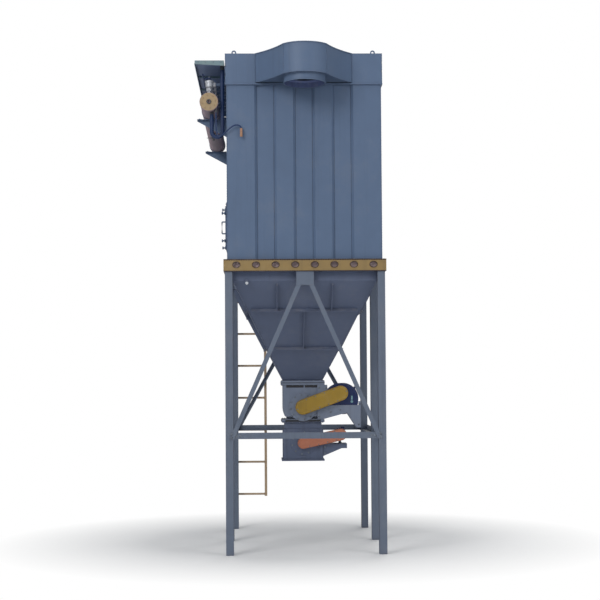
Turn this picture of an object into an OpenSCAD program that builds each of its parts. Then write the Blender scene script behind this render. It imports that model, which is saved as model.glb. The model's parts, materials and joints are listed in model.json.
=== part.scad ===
// Baghouse filter: a folded sheet housing with a head box, an outlet hood, a pulse-air
// header, a ring beam with round holes, a ribbed hopper, six legs and two rotary valves.
// Millimetres. +Z is up, the front faces -Y, and the origin is on the ground between the legs.

/* [Housing] */
// Width of the bag housing over its side walls
housing_w = 1550; // [1300:10:1900]
// Depth of the bag housing over its end walls
housing_d = 2560; // [2300:20:3000]
// Height of the bag housing from the ring beam to the head box
housing_h = 1765; // [1500:5:2400]
// Thickness of the wall, head box and hopper sheets
sheet_t = 6; // [4:1:9]
// Distance between the upright folds of the walls
fold_pitch = 194; // [160:2:230]
// Width of the slanted strip at a fold
fold_w = 25; // [15:1:40]
// Depth of the panels that are set back
fold_depth = 24; // [12:1:26]
// Least flat width of wall beside a corner
fold_margin = 200; // [120:5:240]

/* [Head box] */
// Height from the top of the housing to the top of the roof
head_h = 315; // [250:5:420]
// How far the head box stands out past the housing walls
head_overhang = 12; // [6:1:30]
// Height of the flange bars under the head box
head_flange_h = 14; // [8:1:24]
// How far the flange bars stand out past the head box
head_flange_lip = 6; // [2:1:15]
// How far the flange bars reach inside the housing walls
head_flange_inner = 36; // [30:1:60]
// How far the roof sheet stands out past the head box
roof_lip = 5; // [0:1:20]
// Width of a lifting lug
lug_w = 60; // [52:2:120]
// Height of a lifting lug
lug_h = 50; // [46:2:90]
// Thickness of a lifting lug
lug_t = 12; // [8:1:20]
// Diameter of the lifting eye
lug_hole_d = 24; // [18:1:26]
// Distance of a lifting lug from the side of the head box
lug_inset = 85; // [60:5:200]

/* [Outlet hood] */
// Width of the hood where it meets the head box
hood_w = 970; // [800:10:1150]
// Reach of the hood in front of the head box
hood_reach = 500; // [470:5:620]
// Half the width of the hood's nose, between its two upright edges
hood_nose_half = 210; // [180:5:260]
// Rise of the curved nose in front of its two edges
hood_nose_rise = 100; // [60:5:130]
// How far the side wings curve inward
hood_wing_curve = 24; // [10:1:40]
// Height of the hood floor above the flange bars
hood_floor_up = 8; // [4:1:40]
// Outside diameter of the downward spigot
spigot_d = 412; // [340:2:440]
// Distance of the spigot from the head box
spigot_out = 260; // [235:5:270]
// Length of the spigot below the hood floor
spigot_h = 72; // [50:2:140]
// Height of the bead at the spigot's mouth
spigot_bead_h = 10; // [6:1:20]
// How far the bead stands out
spigot_bead_t = 7; // [3:1:12]
// Wall of the spigot
spigot_t = 6; // [4:1:10]

/* [Ring beam] */
// Height of the ring beam
band_h = 115; // [100:5:160]
// How far the ring beam stands out past the housing walls
band_out = 40; // [30:1:60]
// Web thickness of the ring beam
band_web_t = 7; // [5:1:12]
// Flange thickness of the ring beam
band_flange_t = 8; // [6:1:12]
// Diameter of the round holes in the web
band_hole_d = 78; // [50:1:82]
// Centre distance of the holes
band_hole_pitch = 196; // [150:2:220]
// Height of the hole centres above the middle of the web
band_hole_up = 6; // [0:1:8]
// Depth from the web to the lining plate behind the holes
band_liner_gap = 36; // [20:1:50]

/* [Legs] */
// Height of the legs
leg_h = 2830; // [2400:10:3400]
// Flange width of a leg
leg_flange_w = 76; // [64:2:90]
// Section depth of a leg
leg_d = 100; // [80:2:120]
// Flange thickness of a leg
leg_flange_t = 9; // [6:1:12]
// Web thickness of a leg
leg_web_t = 7; // [5:1:10]
// Thickness of the foot plate that closes the bottom of a leg
foot_t = 10; // [6:1:16]
// Diameter of the anchor bolt hole in a corner foot plate
anchor_d = 18; // [12:1:20]
// Distance of the anchor bolt hole from the middle of the leg
anchor_in = 20; // [17:1:24]
// Distance from the end of the ring beam to the legs, sideways
leg_inset_x = 13; // [5:1:30]
// How far the middle legs stand out past the corner legs
middle_leg_out = 24; // [0:1:30]
// Distance from the face of the ring beam to the legs, front and rear
leg_inset_y = 15; // [12:1:25]
// Height of the underside of the tie beams
tie_z = 1155; // [900:5:1300]
// Leg length of the tie beam angle
tie_w = 63; // [50:1:80]
// Thickness of the tie beam angle
tie_t = 6; // [5:1:10]

/* [Braces] */
// Leg length of a brace angle
brace_w = 45; // [36:1:60]
// Thickness of a brace angle
brace_t = 5; // [4:1:8]
// Width of the front hanger under the ring beam
hanger_front_w = 176; // [140:2:220]
// Height of the front hanger
hanger_front_h = 140; // [100:5:200]
// Width of the rear hanger
hanger_rear_w = 110; // [100:2:160]
// Height of the rear hanger
hanger_rear_h = 400; // [200:10:480]
// Depth of both hangers
hanger_d = 60; // [40:2:70]
// Plate thickness of both hangers
hanger_t = 8; // [6:1:12]
// Height of the lower ends of the braces
brace_foot_z = 1150; // [1000:5:1250]

/* [Hopper] */
// Height of the straight skirt at the top of the hopper
skirt_h = 90; // [50:5:140]
// Gap between the hopper skirt and the legs
hopper_leg_gap = 4; // [2:1:12]
// How far the ring beam reaches in over the hopper sheets
hopper_seat = 9; // [9:1:20]
// Outside width of the hopper outlet
outlet_w = 410; // [340:5:440]
// Height of the top of the outlet flange
outlet_z = 1735; // [1680:5:1900]
// Width of the outlet flange
outlet_flange_w = 470; // [450:5:520]
// Thickness of the outlet flange
outlet_flange_t = 22; // [14:1:30]
// Height of a hopper rib
rib_h = 38; // [25:1:50]
// Thickness of a hopper rib
rib_t = 10; // [6:1:14]
// Place of the upper level rib, as a share of the slope
rib_upper = 0.27; // [0.2:0.01:0.35]
// Place of the lower level rib, as a share of the slope
rib_lower = 0.65; // [0.55:0.01:0.75]
// Distance of the upper sloping ribs from the middle of an end sheet
rib_end_offset = 280; // [200:5:340]
// Distance of the upper sloping ribs from the middle of a side sheet
rib_side_offset = 480; // [300:5:600]

/* [Upper rotary valve] */
// Height of the valve body
valve_h = 408; // [380:2:460]
// Radius of the round casing
valve_r = 216; // [190:2:220]
// Width of the neck under the casing
valve_neck_w = 352; // [300:2:380]
// Height of the neck
valve_neck_h = 46; // [30:2:70]
// Length of the casing from front to rear
valve_len = 450; // [380:5:480]
// Height of the rotor shaft below the top of the valve
valve_shaft_down = 262; // [220:2:270]
// Radius of the end cover
end_cover_r = 150; // [120:2:156]
// Thickness of the end cover
end_cover_t = 14; // [8:1:24]

/* [Lower rotary valve] */
// Width of the square lower body
lower_w = 424; // [400:4:440]
// Height of the lower body with its flanges
lower_h = 432; // [400:4:460]
// Wall of the lower body
lower_t = 10; // [6:1:16]
// Width of the narrower collar at its top
collar_w = 400; // [390:2:420]
// Height of the collar
collar_h = 88; // [60:2:110]
// Width of its flanges
lower_flange_w = 460; // [450:2:490]
// Thickness of its flanges
lower_flange_t = 16; // [10:1:24]
// Radius of the rotor vanes
rotor_r = 150; // [120:2:160]
// Radius of the rotor hub
rotor_hub_r = 44; // [30:1:60]
// Thickness of a vane
vane_t = 8; // [6:1:14]
// Number of vanes
vane_count = 6; // [4:1:8]
// Distance of the bolt holes in the bottom flange
outlet_bolt_pitch = 436; // [430:2:444]
// Diameter of the bolt holes in the bottom flange
outlet_bolt_d = 12; // [8:1:14]

/* [Drives] */
// Radius of the round ends of the upper chain guard
guard_r = 78; // [56:2:84]
// Thickness of both chain guards
guard_t = 66; // [50:2:90]
// Sideways distance of the upper guard's shafts
guard_span_x = 406; // [380:2:470]
// Rise of the upper guard
guard_rise = 148; // [120:2:200]
// Radius of the round ends of the lower chain guard
lower_guard_r = 60; // [50:2:70]
// Sideways distance of the lower guard's shafts
lower_guard_span_x = 406; // [360:2:430]
// Rise of the lower guard
lower_guard_rise = 88; // [60:2:110]
// Radius of the upper gear case
gear_r = 148; // [130:2:160]
// Radius of the round flange in front of the gear case
gear_flange_r = 168; // [150:2:176]
// Thickness of that flange
gear_flange_t = 22; // [14:1:40]
// Height of the upper guard's end above the gear case axis
gear_drop = 58; // [40:2:110]
// Sideways distance from the upper guard's end to the gear case axis
gear_out = 24; // [0:1:40]
// Length of the upper gear case
gear_len = 190; // [140:5:240]
// Radius of the upper motor
motor_r = 105; // [80:5:120]
// Length of the upper motor
motor_len = 250; // [180:5:300]
// Radius of the lower gear motor
small_motor_r = 58; // [46:2:64]
// Length of the lower gear motor
small_motor_len = 330; // [240:5:400]
// Height of the lower motor's axis above its bracket
small_motor_foot = 97; // [86:1:120]
// Radius of the posts under the lower motor
small_post_r = 8; // [6:1:16]
// How far the knee under the upper drive stands out past the gear case
knee_past = 44; // [24:1:60]
// Depth of the knee's foot below the gear case axis
knee_drop = 312; // [280:2:330]
// Width of the knee's foot
knee_w = 44; // [30:2:60]
// Thickness of the motor bracket plates
bracket_t = 10; // [6:1:14]
// Width of the motor brackets from front to rear
bracket_d = 260; // [200:5:320]

/* [Pulse header] */
// Radius of the compressed air tank
tank_r = 90; // [70:2:110]
// Distance of the tank axis from the housing wall
tank_off = 180; // [150:2:220]
// Height of the tank axis below the top of the housing
tank_down = 165; // [145:5:220]
// How far each end of the tank stays behind the end wall
tank_short = 30; // [20:2:100]
// Thickness of a tank end cap
cap_t = 14; // [8:1:24]
// Radius of the port in the front cap
port_r = 13; // [8:1:18]
// Number of pulse valves
pulse_count = 12; // [6:1:12]
// Radius of a riser or blow pipe
pipe_r = 17; // [12:1:22]
// Radius of a pulse valve body
pulse_r = 40; // [30:1:48]
// Height of a pulse valve body
pulse_h = 46; // [36:1:60]
// Radius of a pulse valve cover
pulse_cover_r = 48; // [40:1:56]
// Thickness of a pulse valve cover
pulse_cover_t = 14; // [8:1:20]
// Height of the blow pipes above the top of the housing
blow_up = 46; // [40:1:70]
// Reach of the tank brackets and the canopy from the housing wall
canopy_reach = 320; // [300:5:360]
// Depth of the tank brackets at the wall
tank_bracket_h = 190; // [140:5:240]
// Thickness of a tank bracket
tank_bracket_t = 8; // [6:1:12]
// Width of the shelf on a tank bracket
shelf_w = 70; // [40:2:100]
// Gap between the canopy and the head box
canopy_gap = 14; // [8:1:24]
// Depth of the canopy skirt at its outer edge
canopy_skirt_h = 34; // [20:1:60]
// Thickness of the canopy sheet
canopy_t = 4; // [3:1:8]
// Height of the canopy top below the roof
canopy_down = 70; // [50:5:100]

/* [Ladder] */
// Width of the ladder over its stiles
ladder_w = 400; // [340:10:440]
// Width of a stile
stile_w = 30; // [24:1:50]
// Depth of a stile
stile_d = 20; // [14:1:30]
// Radius of a rung
rung_r = 12; // [9:1:16]
// Distance between rungs
rung_pitch = 381; // [300:1:420]
// Height of the lowest rung
rung_first_z = 398; // [300:2:450]
// Stile length below the lowest rung
stile_toe = 25; // [20:1:60]
// Gap between the ring beam and the ladder
ladder_gap = 30; // [20:1:60]
// Distance of the ladder's middle from the left wall
ladder_in = 187; // [180:1:260]

/* [Lines] */
// Diameter of the hanging cable
cable_d = 40; // [20:1:44]
// Distance of the cable's falling strand from the housing wall
cable_off = 47; // [46:1:60]
// Width of the cable's hanging loop
cable_loop_w = 108; // [96:2:116]
// Depth of the loop's lowest point below the top of the housing
cable_drop = 506; // [440:2:600]
// Distance of the cable behind the front end of the tank
cable_back = 90; // [80:2:130]
// Height of the cable gland under the canopy
gland_h = 66; // [40:2:90]
// Length of the nipples below the tank
nipple_h = 20; // [10:1:40]
// Diameter of the air hose
hose_d = 14; // [10:1:20]
// Depth of the hose's arch below the top of the housing
arch_down = 413; // [400:1:440]
// Depth of the hose's low point below its arch
hose_dip = 107; // [80:1:130]
// Width of the hose's last bend
hose_bend = 51; // [44:1:64]
// Distance of the hose in front of the front wall
hose_out = 38; // [30:1:50]
// Distance of the hose coupling from the left wall
coupling_in = 145; // [120:5:200]
// Length of the hose coupling
coupling_h = 84; // [60:2:100]
// Radius of the hose coupling
coupling_r = 13; // [10:1:18]

/* [Inlet and door] */
// Inside radius of the dust inlet
inlet_r = 200; // [160:2:220]
// Sideways place of the inlet on the rear wall
inlet_x = 250; // [150:5:300]
// Height of the inlet above the ring beam
inlet_up = 400; // [340:5:500]
// Length of the inlet nozzle
inlet_len = 150; // [100:5:220]
// Wall of the inlet nozzle
inlet_t = 6; // [4:1:10]
// Radius of the inlet flange
inlet_flange_r = 262; // [255:1:290]
// Thickness of the inlet flange
inlet_flange_t = 12; // [8:1:20]
// Bolt circle diameter of the inlet flange
inlet_bolt_pcd = 480; // [474:2:490]
// Number of inlet bolts
inlet_bolt_count = 8; // [4:4:16]
// Diameter of the inlet bolt holes
inlet_bolt_d = 14; // [10:1:18]
// Width of the pad plate under the inlet
inlet_pad_w = 600; // [560:10:640]
// Thickness of the pad plate
inlet_pad_t = 8; // [6:1:12]
// Width of the inspection door
door_w = 480; // [400:10:560]
// Height of the inspection door
door_h = 420; // [340:10:480]
// Thickness of the door and of its frame
door_t = 12; // [8:1:16]
// Width of the frame round the door
door_frame_w = 36; // [24:2:60]
// Height of the middle of the door above the ring beam
door_up = 350; // [280:5:420]
// Distance of the middle of the door from the front wall
door_back = 380; // [340:10:700]

/* [Hidden] */
$fn = 64;

// Colours of the finishes
steel_blue = [0.36, 0.42, 0.51];
shade_blue = [0.30, 0.34, 0.42];
band_yellow = [0.74, 0.60, 0.33];
guard_yellow = [0.72, 0.53, 0.14];
guard_orange = [0.78, 0.47, 0.34];
rust_brown = [0.45, 0.32, 0.28];
motor_blue = [0.06, 0.11, 0.32];
ladder_tan = [0.74, 0.58, 0.42];
tank_mauve = [0.47, 0.39, 0.40];
cast_silver = [0.72, 0.73, 0.75];
cable_navy = [0.07, 0.11, 0.24];
canopy_grey = [0.50, 0.58, 0.60];

// Half sizes and levels that many pieces share
half_w = housing_w / 2;
half_d = housing_d / 2;
band_x = half_w + band_out;
band_y = half_d + band_out;
band_z1 = leg_h + band_h;
housing_z1 = band_z1 + housing_h;
roof_z = housing_z1 + head_h;
head_x = half_w + head_overhang;
head_y = half_d + head_overhang;
head_z0 = housing_z1 + head_flange_h;
head_z1 = roof_z - sheet_t;

// Legs and the ring beam flange that covers both the legs and the hopper
leg_x = band_x - leg_inset_x - leg_flange_w / 2;
leg_y = band_y - leg_inset_y - leg_d / 2;
hopper_x = leg_x - leg_flange_w / 2 - hopper_leg_gap;
band_flange_w = band_x - hopper_x + hopper_seat;
hopper_y = band_y - band_flange_w + hopper_seat;
leg_face_y = leg_y + leg_d / 2;
tie_len = 2 * (leg_x - leg_flange_w / 2);

// Hopper slope
slope_z1 = leg_h - skirt_h;
outlet_half = outlet_w / 2;

// Hood in plan: two wings that curve inward and a nose that curves outward
hood_half = hood_w / 2;
hood_edge = hood_reach - hood_nose_rise;
hood_floor_z = head_z0 + hood_floor_up;
nose_r = (pow(hood_nose_half, 2) + pow(hood_nose_rise, 2)) / (2 * hood_nose_rise);
wing_chord = norm([hood_half - hood_nose_half, hood_edge]);
wing_r = (pow(wing_chord / 2, 2) + pow(hood_wing_curve, 2)) / (2 * hood_wing_curve);
wing_out = [hood_edge, hood_nose_half - hood_half] / wing_chord;
wing_mid = [(hood_half + hood_nose_half) / 2, -hood_edge / 2] + wing_out * (wing_r - hood_wing_curve);
spigot_y = -(head_y + spigot_out);

// Rotary valves
valve_z1 = outlet_z - outlet_flange_t;
valve_z0 = valve_z1 - valve_h;
shaft_z = valve_z1 - valve_shaft_down;
lower_z1 = valve_z0;
lower_z0 = lower_z1 - lower_h;
lower_shaft_z = lower_z0 + (lower_h - collar_h) / 2 + 20;
end_face_y = -(valve_len / 2 + end_cover_t);
lower_face_y = -lower_w / 2;
gear_x = guard_span_x + gear_out;
gear_z = shaft_z + guard_rise - gear_drop;
knee_reach = gear_x + gear_r + knee_past;
bracket_slope = 15;
small_motor_z = lower_shaft_z + lower_guard_rise;

// Pulse header
wall_x = -half_w;
tank_x = wall_x - tank_off;
tank_z = housing_z1 - tank_down;
tank_len = housing_d - 2 * tank_short;
tank_front_y = -(tank_len / 2);
blow_z = housing_z1 + blow_up;
canopy_x0 = wall_x - canopy_reach;
canopy_x1 = -head_x - canopy_gap;
canopy_z = roof_z - canopy_down;
side_folds = floor((half_d - sheet_t - fold_margin) / fold_pitch - 0.5);
bracket_front_y = -(side_folds - 1) * fold_pitch;
bracket_rear_y = ((side_folds + 0.5) * fold_pitch + half_d) / 2;
pulse_pitch = fold_pitch;

// Ladder on the rear side
ladder_x = wall_x + ladder_in;
ladder_y = band_y + ladder_gap;
rung_count = floor((roof_z - 40 - rung_first_z) / rung_pitch) + 1;
stile_z0 = rung_first_z - stile_toe;

// Places that the cable and the hose hang from
cable_x = wall_x - cable_off;
cable_y = tank_front_y + cable_back;
cable_top_z = canopy_z - canopy_t - gland_h;
cable_end_z = tank_z - tank_r - nipple_h;
loop_r = cable_loop_w / 2;
loop_z = housing_z1 - cable_drop + loop_r;
arch_z = housing_z1 - arch_down;
coupling_x = wall_x + coupling_in;
hose_y = -half_d - hose_out;

// Middle of the cable: down, round the loop and up to the tank
cable_route = concat(
    [for (i = [0 : 9]) [cable_x, cable_top_z + (loop_z - cable_top_z) * i / 10]],
    [for (i = [0 : 12]) [cable_x - loop_r, loop_z] + loop_r * [cos(15 * i), -sin(15 * i)]],
    [for (i = [1 : 4]) [cable_x - cable_loop_w, loop_z + (cable_end_z - loop_z) * i / 4]]);

// Middle of the hose: down from the tank, round the corner, over an arch and into the coupling
function curve_point(p, t) =
    let (s = 1 - t) s * s * s * p[0] + 3 * s * s * t * p[1] + 3 * s * t * t * p[2] + t * t * t * p[3];
function curve(p, n) = [for (i = [1 : n]) curve_point(p, i / n)];
hose_top = [tank_x + tank_r * 0.78, cable_y - 1.6 * cable_d, cable_end_z + nipple_h / 2];
hose_low = [cable_x - cable_d * 0.35, -half_d - hose_d, arch_z - hose_dip];
hose_arch = [coupling_x - hose_bend, hose_y, arch_z];
hose_end = [coupling_x, hose_y, arch_z - hose_bend * 0.65];
low_pull = [hose_bend, hose_y - hose_low.y, hose_bend / 2];
hose_route = concat(
    [hose_top],
    curve([hose_top, hose_top - [0, 0, hose_bend * 3], hose_low - low_pull, hose_low], 9),
    curve([hose_low, hose_low + low_pull, hose_arch - [hose_bend * 0.9, 0, 0], hose_arch], 8),
    curve([hose_arch, hose_arch + [hose_bend * 0.55, 0, 0],
        hose_end + [0, 0, hose_bend * 0.45], hose_end], 6));

// General shapes

// A box given by its two corners
module box(low, high) {
    translate(low) cube(high - low);
}

// A copy on each side of the middle plane x = 0
module both_sides() {
    for (side = [0, 1]) mirror([side, 0, 0]) children();
}

// A copy at the front and one turned to the rear
module front_and_rear() {
    for (turn = [0, 180]) rotate([0, 0, turn]) children();
}

// A cylinder along +Y that starts at its origin
module along_y(r, h) {
    rotate([-90, 0, 0]) cylinder(r = r, h = h);
}

// A cylinder along +X that starts at its origin
module along_x(r, h) {
    rotate([0, 90, 0]) cylinder(r = r, h = h);
}

// Number of folds on each side of the middle of a wall, less one
function fold_last(len) = floor((len / 2 - fold_margin) / fold_pitch - 0.5);

// Outline of a folded wall's face, from left to right: flat, set back, flat, set back, flat
function fold_line(len) =
    let (n = fold_last(len))
    concat(
        [[-len / 2, 0]],
        [for (i = [0 : 2 * n + 1]) each
            let (x = (i - n - 0.5) * fold_pitch, inward = i % 2 == 0)
            [[x - fold_w / 2, inward ? 0 : fold_depth], [x + fold_w / 2, inward ? fold_depth : 0]]],
        [[len / 2, 0]]);

function back_to_front(list) = [for (i = [len(list) - 1 : -1 : 0]) list[i]];

// A folded wall that faces -Y with its outer panels on y = 0
module folded_wall(len) {
    face = fold_line(len);
    back = [for (p = back_to_front(face)) p + [0, sheet_t]];
    translate([0, 0, band_z1]) linear_extrude(housing_h) polygon(concat(face, back));
}

// A round bar swept along a list of points, with rings of eight corners
function unit(v) = v / norm(v);
function direction(path, i) =
    unit(path[min(i + 1, len(path) - 1)] - path[max(i - 1, 0)]);
module swept_bar(path, r, sides = 8) {
    rings = [for (i = [0 : len(path) - 1])
        let (t = direction(path, i), u = unit(cross(t, [0.31, 0.9, 0.29])), w = cross(t, u))
        for (k = [0 : sides - 1]) path[i] + r * (cos(360 * k / sides) * u + sin(360 * k / sides) * w)];
    n = len(path);
    polyhedron(rings, concat(
        [[for (k = [0 : sides - 1]) k]],
        [for (i = [0 : n - 2], k = [0 : sides - 1])
            let (a = i * sides, b = a + sides, m = (k + 1) % sides) [a + k, b + k, b + m, a + m]],
        [[for (k = [sides - 1 : -1 : 0]) (n - 1) * sides + k]]));
}

// Legs and tie beams

module leg() {
    color(steel_blue) translate([0, 0, foot_t]) linear_extrude(leg_h - foot_t) {
        for (s = [0, 1]) mirror([0, s])
            translate([-leg_flange_w / 2, leg_d / 2 - leg_flange_t]) square([leg_flange_w, leg_flange_t]);
        square([leg_web_t, leg_d - leg_flange_t], center = true);
    }
}

module leg_pair(y, out = 0) {
    both_sides() translate([leg_x + out, y, 0]) leg();
}

// Plates under the legs; the corner ones have a hole for an anchor bolt beside the web
module foot_plates() {
    color(steel_blue) both_sides() for (row = [-1, 0, 1])
        translate([leg_x + (row == 0 ? middle_leg_out : 0), row * leg_y, 0])
            linear_extrude(foot_t) difference() {
                square([leg_flange_w, leg_d], center = true);
                if (row != 0) translate([-anchor_in, 0]) circle(d = anchor_d);
            }
}

// An angle bar along X whose upright faces -Y
module tie_angle(len) {
    color(steel_blue) rotate([90, 0, 90]) linear_extrude(len, center = true)
        polygon([[0, 0], [tie_w, 0], [tie_w, tie_t], [tie_t, tie_t], [tie_t, tie_w], [0, tie_w]]);
}

module end_tie_beam() {
    translate([0, -leg_face_y + leg_flange_t - tie_t, tie_z]) tie_angle(tie_len);
}

module side_tie_beams() {
    bay = leg_y - leg_d;
    both_sides() for (end = [-1, 1])
        translate([leg_x + tie_w / 2, end * leg_y / 2, tie_z]) rotate([0, 0, 90]) tie_angle(bay);
}

// Braces

// An angle brace in an end frame, from under the hanger to the face of the leg
module brace(hanger_w, top_z) {
    top_x = hanger_w / 2 - brace_w / 2;
    foot_x = leg_x - brace_w / 2;
    lean = atan2(foot_x - top_x, top_z - brace_foot_z);
    cut = brace_w / cos(lean) / 2;
    thin = brace_t / cos(lean);
    clear_z = tie_z + tie_w + 2 * brace_w;
    clear_x = foot_x - (clear_z - brace_foot_z) * tan(lean);
    color(steel_blue) translate([0, -leg_face_y, 0]) rotate([90, 0, 0]) union() {
        linear_extrude(brace_t) polygon([
            [top_x - cut, top_z], [top_x + cut, top_z],
            [foot_x + cut, brace_foot_z], [foot_x - cut, brace_foot_z]]);
        translate([0, 0, brace_t - brace_w]) linear_extrude(brace_w) polygon([
            [top_x + cut - thin, top_z], [top_x + cut, top_z],
            [clear_x + cut, clear_z], [clear_x + cut - thin, clear_z]]);
    }
}

module rear_braces() {
    rotate([0, 0, 180]) both_sides() brace(hanger_rear_w, leg_h - hanger_rear_h);
}

// A hanger bracket under the ring beam, open at its back
module hanger(w, h) {
    color(steel_blue) difference() {
        box([-w / 2, -leg_face_y - brace_t, leg_h - h], [w / 2, -leg_face_y - brace_t + hanger_d, leg_h]);
        box([-w / 2 + hanger_t, -leg_face_y - brace_t + hanger_t, leg_h - h + hanger_t],
            [w / 2 - hanger_t, -leg_face_y + hanger_d, leg_h + hanger_t]);
    }
}

// Ring beam

function hole_places(len) =
    let (n = floor((len / 2 - band_hole_d) / band_hole_pitch - 0.5))
    [for (i = [-n - 1 : n]) (i + 0.5) * band_hole_pitch];

// A channel that faces -Y, with its web on y = 0 and round holes in the web
module ring_channel(len, holes) {
    mid_z = leg_h + band_h / 2 + band_hole_up;
    color(band_yellow) difference() {
        box([-len / 2, 0, leg_h], [len / 2, band_flange_w, band_z1]);
        box([-len / 2 + band_web_t, band_web_t, leg_h + band_flange_t],
            [len / 2 - band_web_t, band_flange_w + 1, band_z1 - band_flange_t]);
        for (x = holes) translate([x, -1, mid_z]) along_y(band_hole_d / 2, band_web_t + 2);
    }
}

module ring_end() {
    translate([0, -band_y, 0]) ring_channel(2 * band_x, hole_places(2 * band_x));
}

module ring_side() {
    len = 2 * (band_y - band_flange_w);
    rotate([0, 0, 90]) translate([0, -band_x, 0]) ring_channel(len, hole_places(len));
}

// Plates behind the holes, between the two flanges of each channel
module ring_beam_lining() {
    z0 = leg_h + band_flange_t;
    z1 = band_z1 - band_flange_t;
    back = band_web_t + band_liner_gap;
    end_len = 2 * (band_x - band_web_t);
    side_len = 2 * (band_y - band_flange_w - band_web_t);
    color(rust_brown) {
        for (turn = [0, 180]) rotate([0, 0, turn])
            box([-end_len / 2, -band_y + back, z0], [end_len / 2, -band_y + back + band_web_t, z1]);
        for (turn = [90, 270]) rotate([0, 0, turn])
            box([-side_len / 2, -band_x + back, z0], [side_len / 2, -band_x + back + band_web_t, z1]);
    }
}

// Housing walls

module housing_end_wall() {
    color(steel_blue) translate([0, -half_d, 0]) folded_wall(housing_w);
}

module housing_side_wall() {
    color(steel_blue) rotate([0, 0, 90]) translate([0, -half_w, 0]) folded_wall(housing_d - 2 * sheet_t);
}

module housing_rear_wall() {
    difference() {
        rotate([0, 0, 180]) housing_end_wall();
        translate([inlet_x, half_d - 2 * fold_depth, band_z1 + inlet_up]) along_y(inlet_r, 4 * fold_depth);
    }
}

// Head box

module head_flange_bars() {
    x1 = head_x + head_flange_lip;
    y1 = head_y + head_flange_lip;
    x0 = half_w - head_flange_inner;
    y0 = half_d - head_flange_inner;
    color(steel_blue) for (s = [0, 1]) {
        mirror([0, s, 0]) box([-x1, -y1, housing_z1], [x1, -y0, head_z0]);
        mirror([s, 0, 0]) box([x0, -y0 + 0.5, housing_z1], [x1, y0 - 0.5, head_z0]);
    }
}

module head_front_wall() {
    color(steel_blue) both_sides()
        box([hood_half - sheet_t, -head_y, head_z0], [head_x, -head_y + sheet_t, head_z1]);
}

module head_rear_wall() {
    color(steel_blue) box([-head_x, head_y - sheet_t, head_z0], [head_x, head_y, head_z1]);
}

module head_side_walls() {
    color(steel_blue) both_sides()
        box([head_x - sheet_t, -head_y + sheet_t, head_z0], [head_x, head_y - sheet_t, head_z1]);
}

module roof_sheet() {
    color(steel_blue)
        box([-head_x - roof_lip, -head_y, head_z1], [head_x + roof_lip, head_y + roof_lip, roof_z]);
}

module lifting_lug() {
    top_r = lug_hole_d;
    color(steel_blue) rotate([90, 0, 0]) linear_extrude(lug_t, center = true) difference() {
        union() {
            translate([0, lug_h - top_r]) circle(r = top_r);
            polygon([[-lug_w / 2, 0], [lug_w / 2, 0], [top_r, lug_h - top_r], [-top_r, lug_h - top_r]]);
        }
        translate([0, lug_h - top_r]) circle(d = lug_hole_d);
    }
}

module lifting_lugs() {
    for (x = [-1, 1], y = [-1, 1])
        translate([x * (head_x - lug_inset), y * (head_y - lug_inset), roof_z]) lifting_lug();
}

// Outlet hood

// Plan outline of the hood, drawn in by the given amount, with the head box face on y = 0
module hood_outline(inset = 0) {
    difference() {
        union() {
            translate([-hood_half, -hood_edge]) square([hood_w, hood_edge]);
            intersection() {
                translate([0, nose_r - hood_reach]) circle(r = nose_r - inset);
                translate([-hood_half, -2 * hood_reach]) square([hood_w, 2 * hood_reach - hood_edge]);
            }
        }
        for (side = [0, 1]) mirror([side, 0]) translate(wing_mid) circle(r = wing_r + inset);
    }
}

module hood_wall() {
    color(steel_blue) translate([0, -head_y, hood_floor_z + sheet_t])
        linear_extrude(head_z1 - hood_floor_z - sheet_t) difference() {
            hood_outline();
            hood_outline(sheet_t);
        }
}

module hood_roof() {
    color(steel_blue) translate([0, -head_y, head_z1]) linear_extrude(sheet_t) hood_outline();
}

module hood_floor() {
    color(steel_blue) difference() {
        translate([0, -head_y, hood_floor_z]) linear_extrude(sheet_t) hood_outline();
        translate([0, spigot_y, hood_floor_z - 1]) cylinder(r = spigot_d / 2 - spigot_t, h = sheet_t + 2);
    }
}

module outlet_spigot() {
    color(steel_blue) translate([0, spigot_y, hood_floor_z - spigot_h]) difference() {
        union() {
            cylinder(d = spigot_d, h = spigot_h);
            cylinder(r = spigot_d / 2 + spigot_bead_t, h = spigot_bead_h);
        }
        translate([0, 0, -1]) cylinder(r = spigot_d / 2 - spigot_t, h = spigot_h + 2);
    }
}

// Hopper

// One folded sheet that faces -Y: a straight skirt, then a slope to the outlet, mitred at its sides
module hopper_sheet(top_a, top_b) {
    t = sheet_t;
    levels = [[top_a, top_b, leg_h], [top_a, top_b, slope_z1], [outlet_half, outlet_half, outlet_z]];
    points = [for (v = levels) each [
        [-v[0], -v[1], v[2]], [v[0], -v[1], v[2]],
        [v[0] - t, -v[1] + t, v[2]], [-v[0] + t, -v[1] + t, v[2]]]];
    color(shade_blue) polyhedron(points, [
        [0, 3, 2, 1], [8, 9, 10, 11], [0, 1, 5, 4], [4, 5, 9, 8], [2, 3, 7, 6], [6, 7, 11, 10],
        [3, 0, 4, 7], [7, 4, 8, 11], [1, 2, 6, 5], [5, 6, 10, 9]]);
}

module hopper_side_sheets() {
    both_sides() rotate([0, 0, 90]) hopper_sheet(hopper_y, hopper_x);
}

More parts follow.
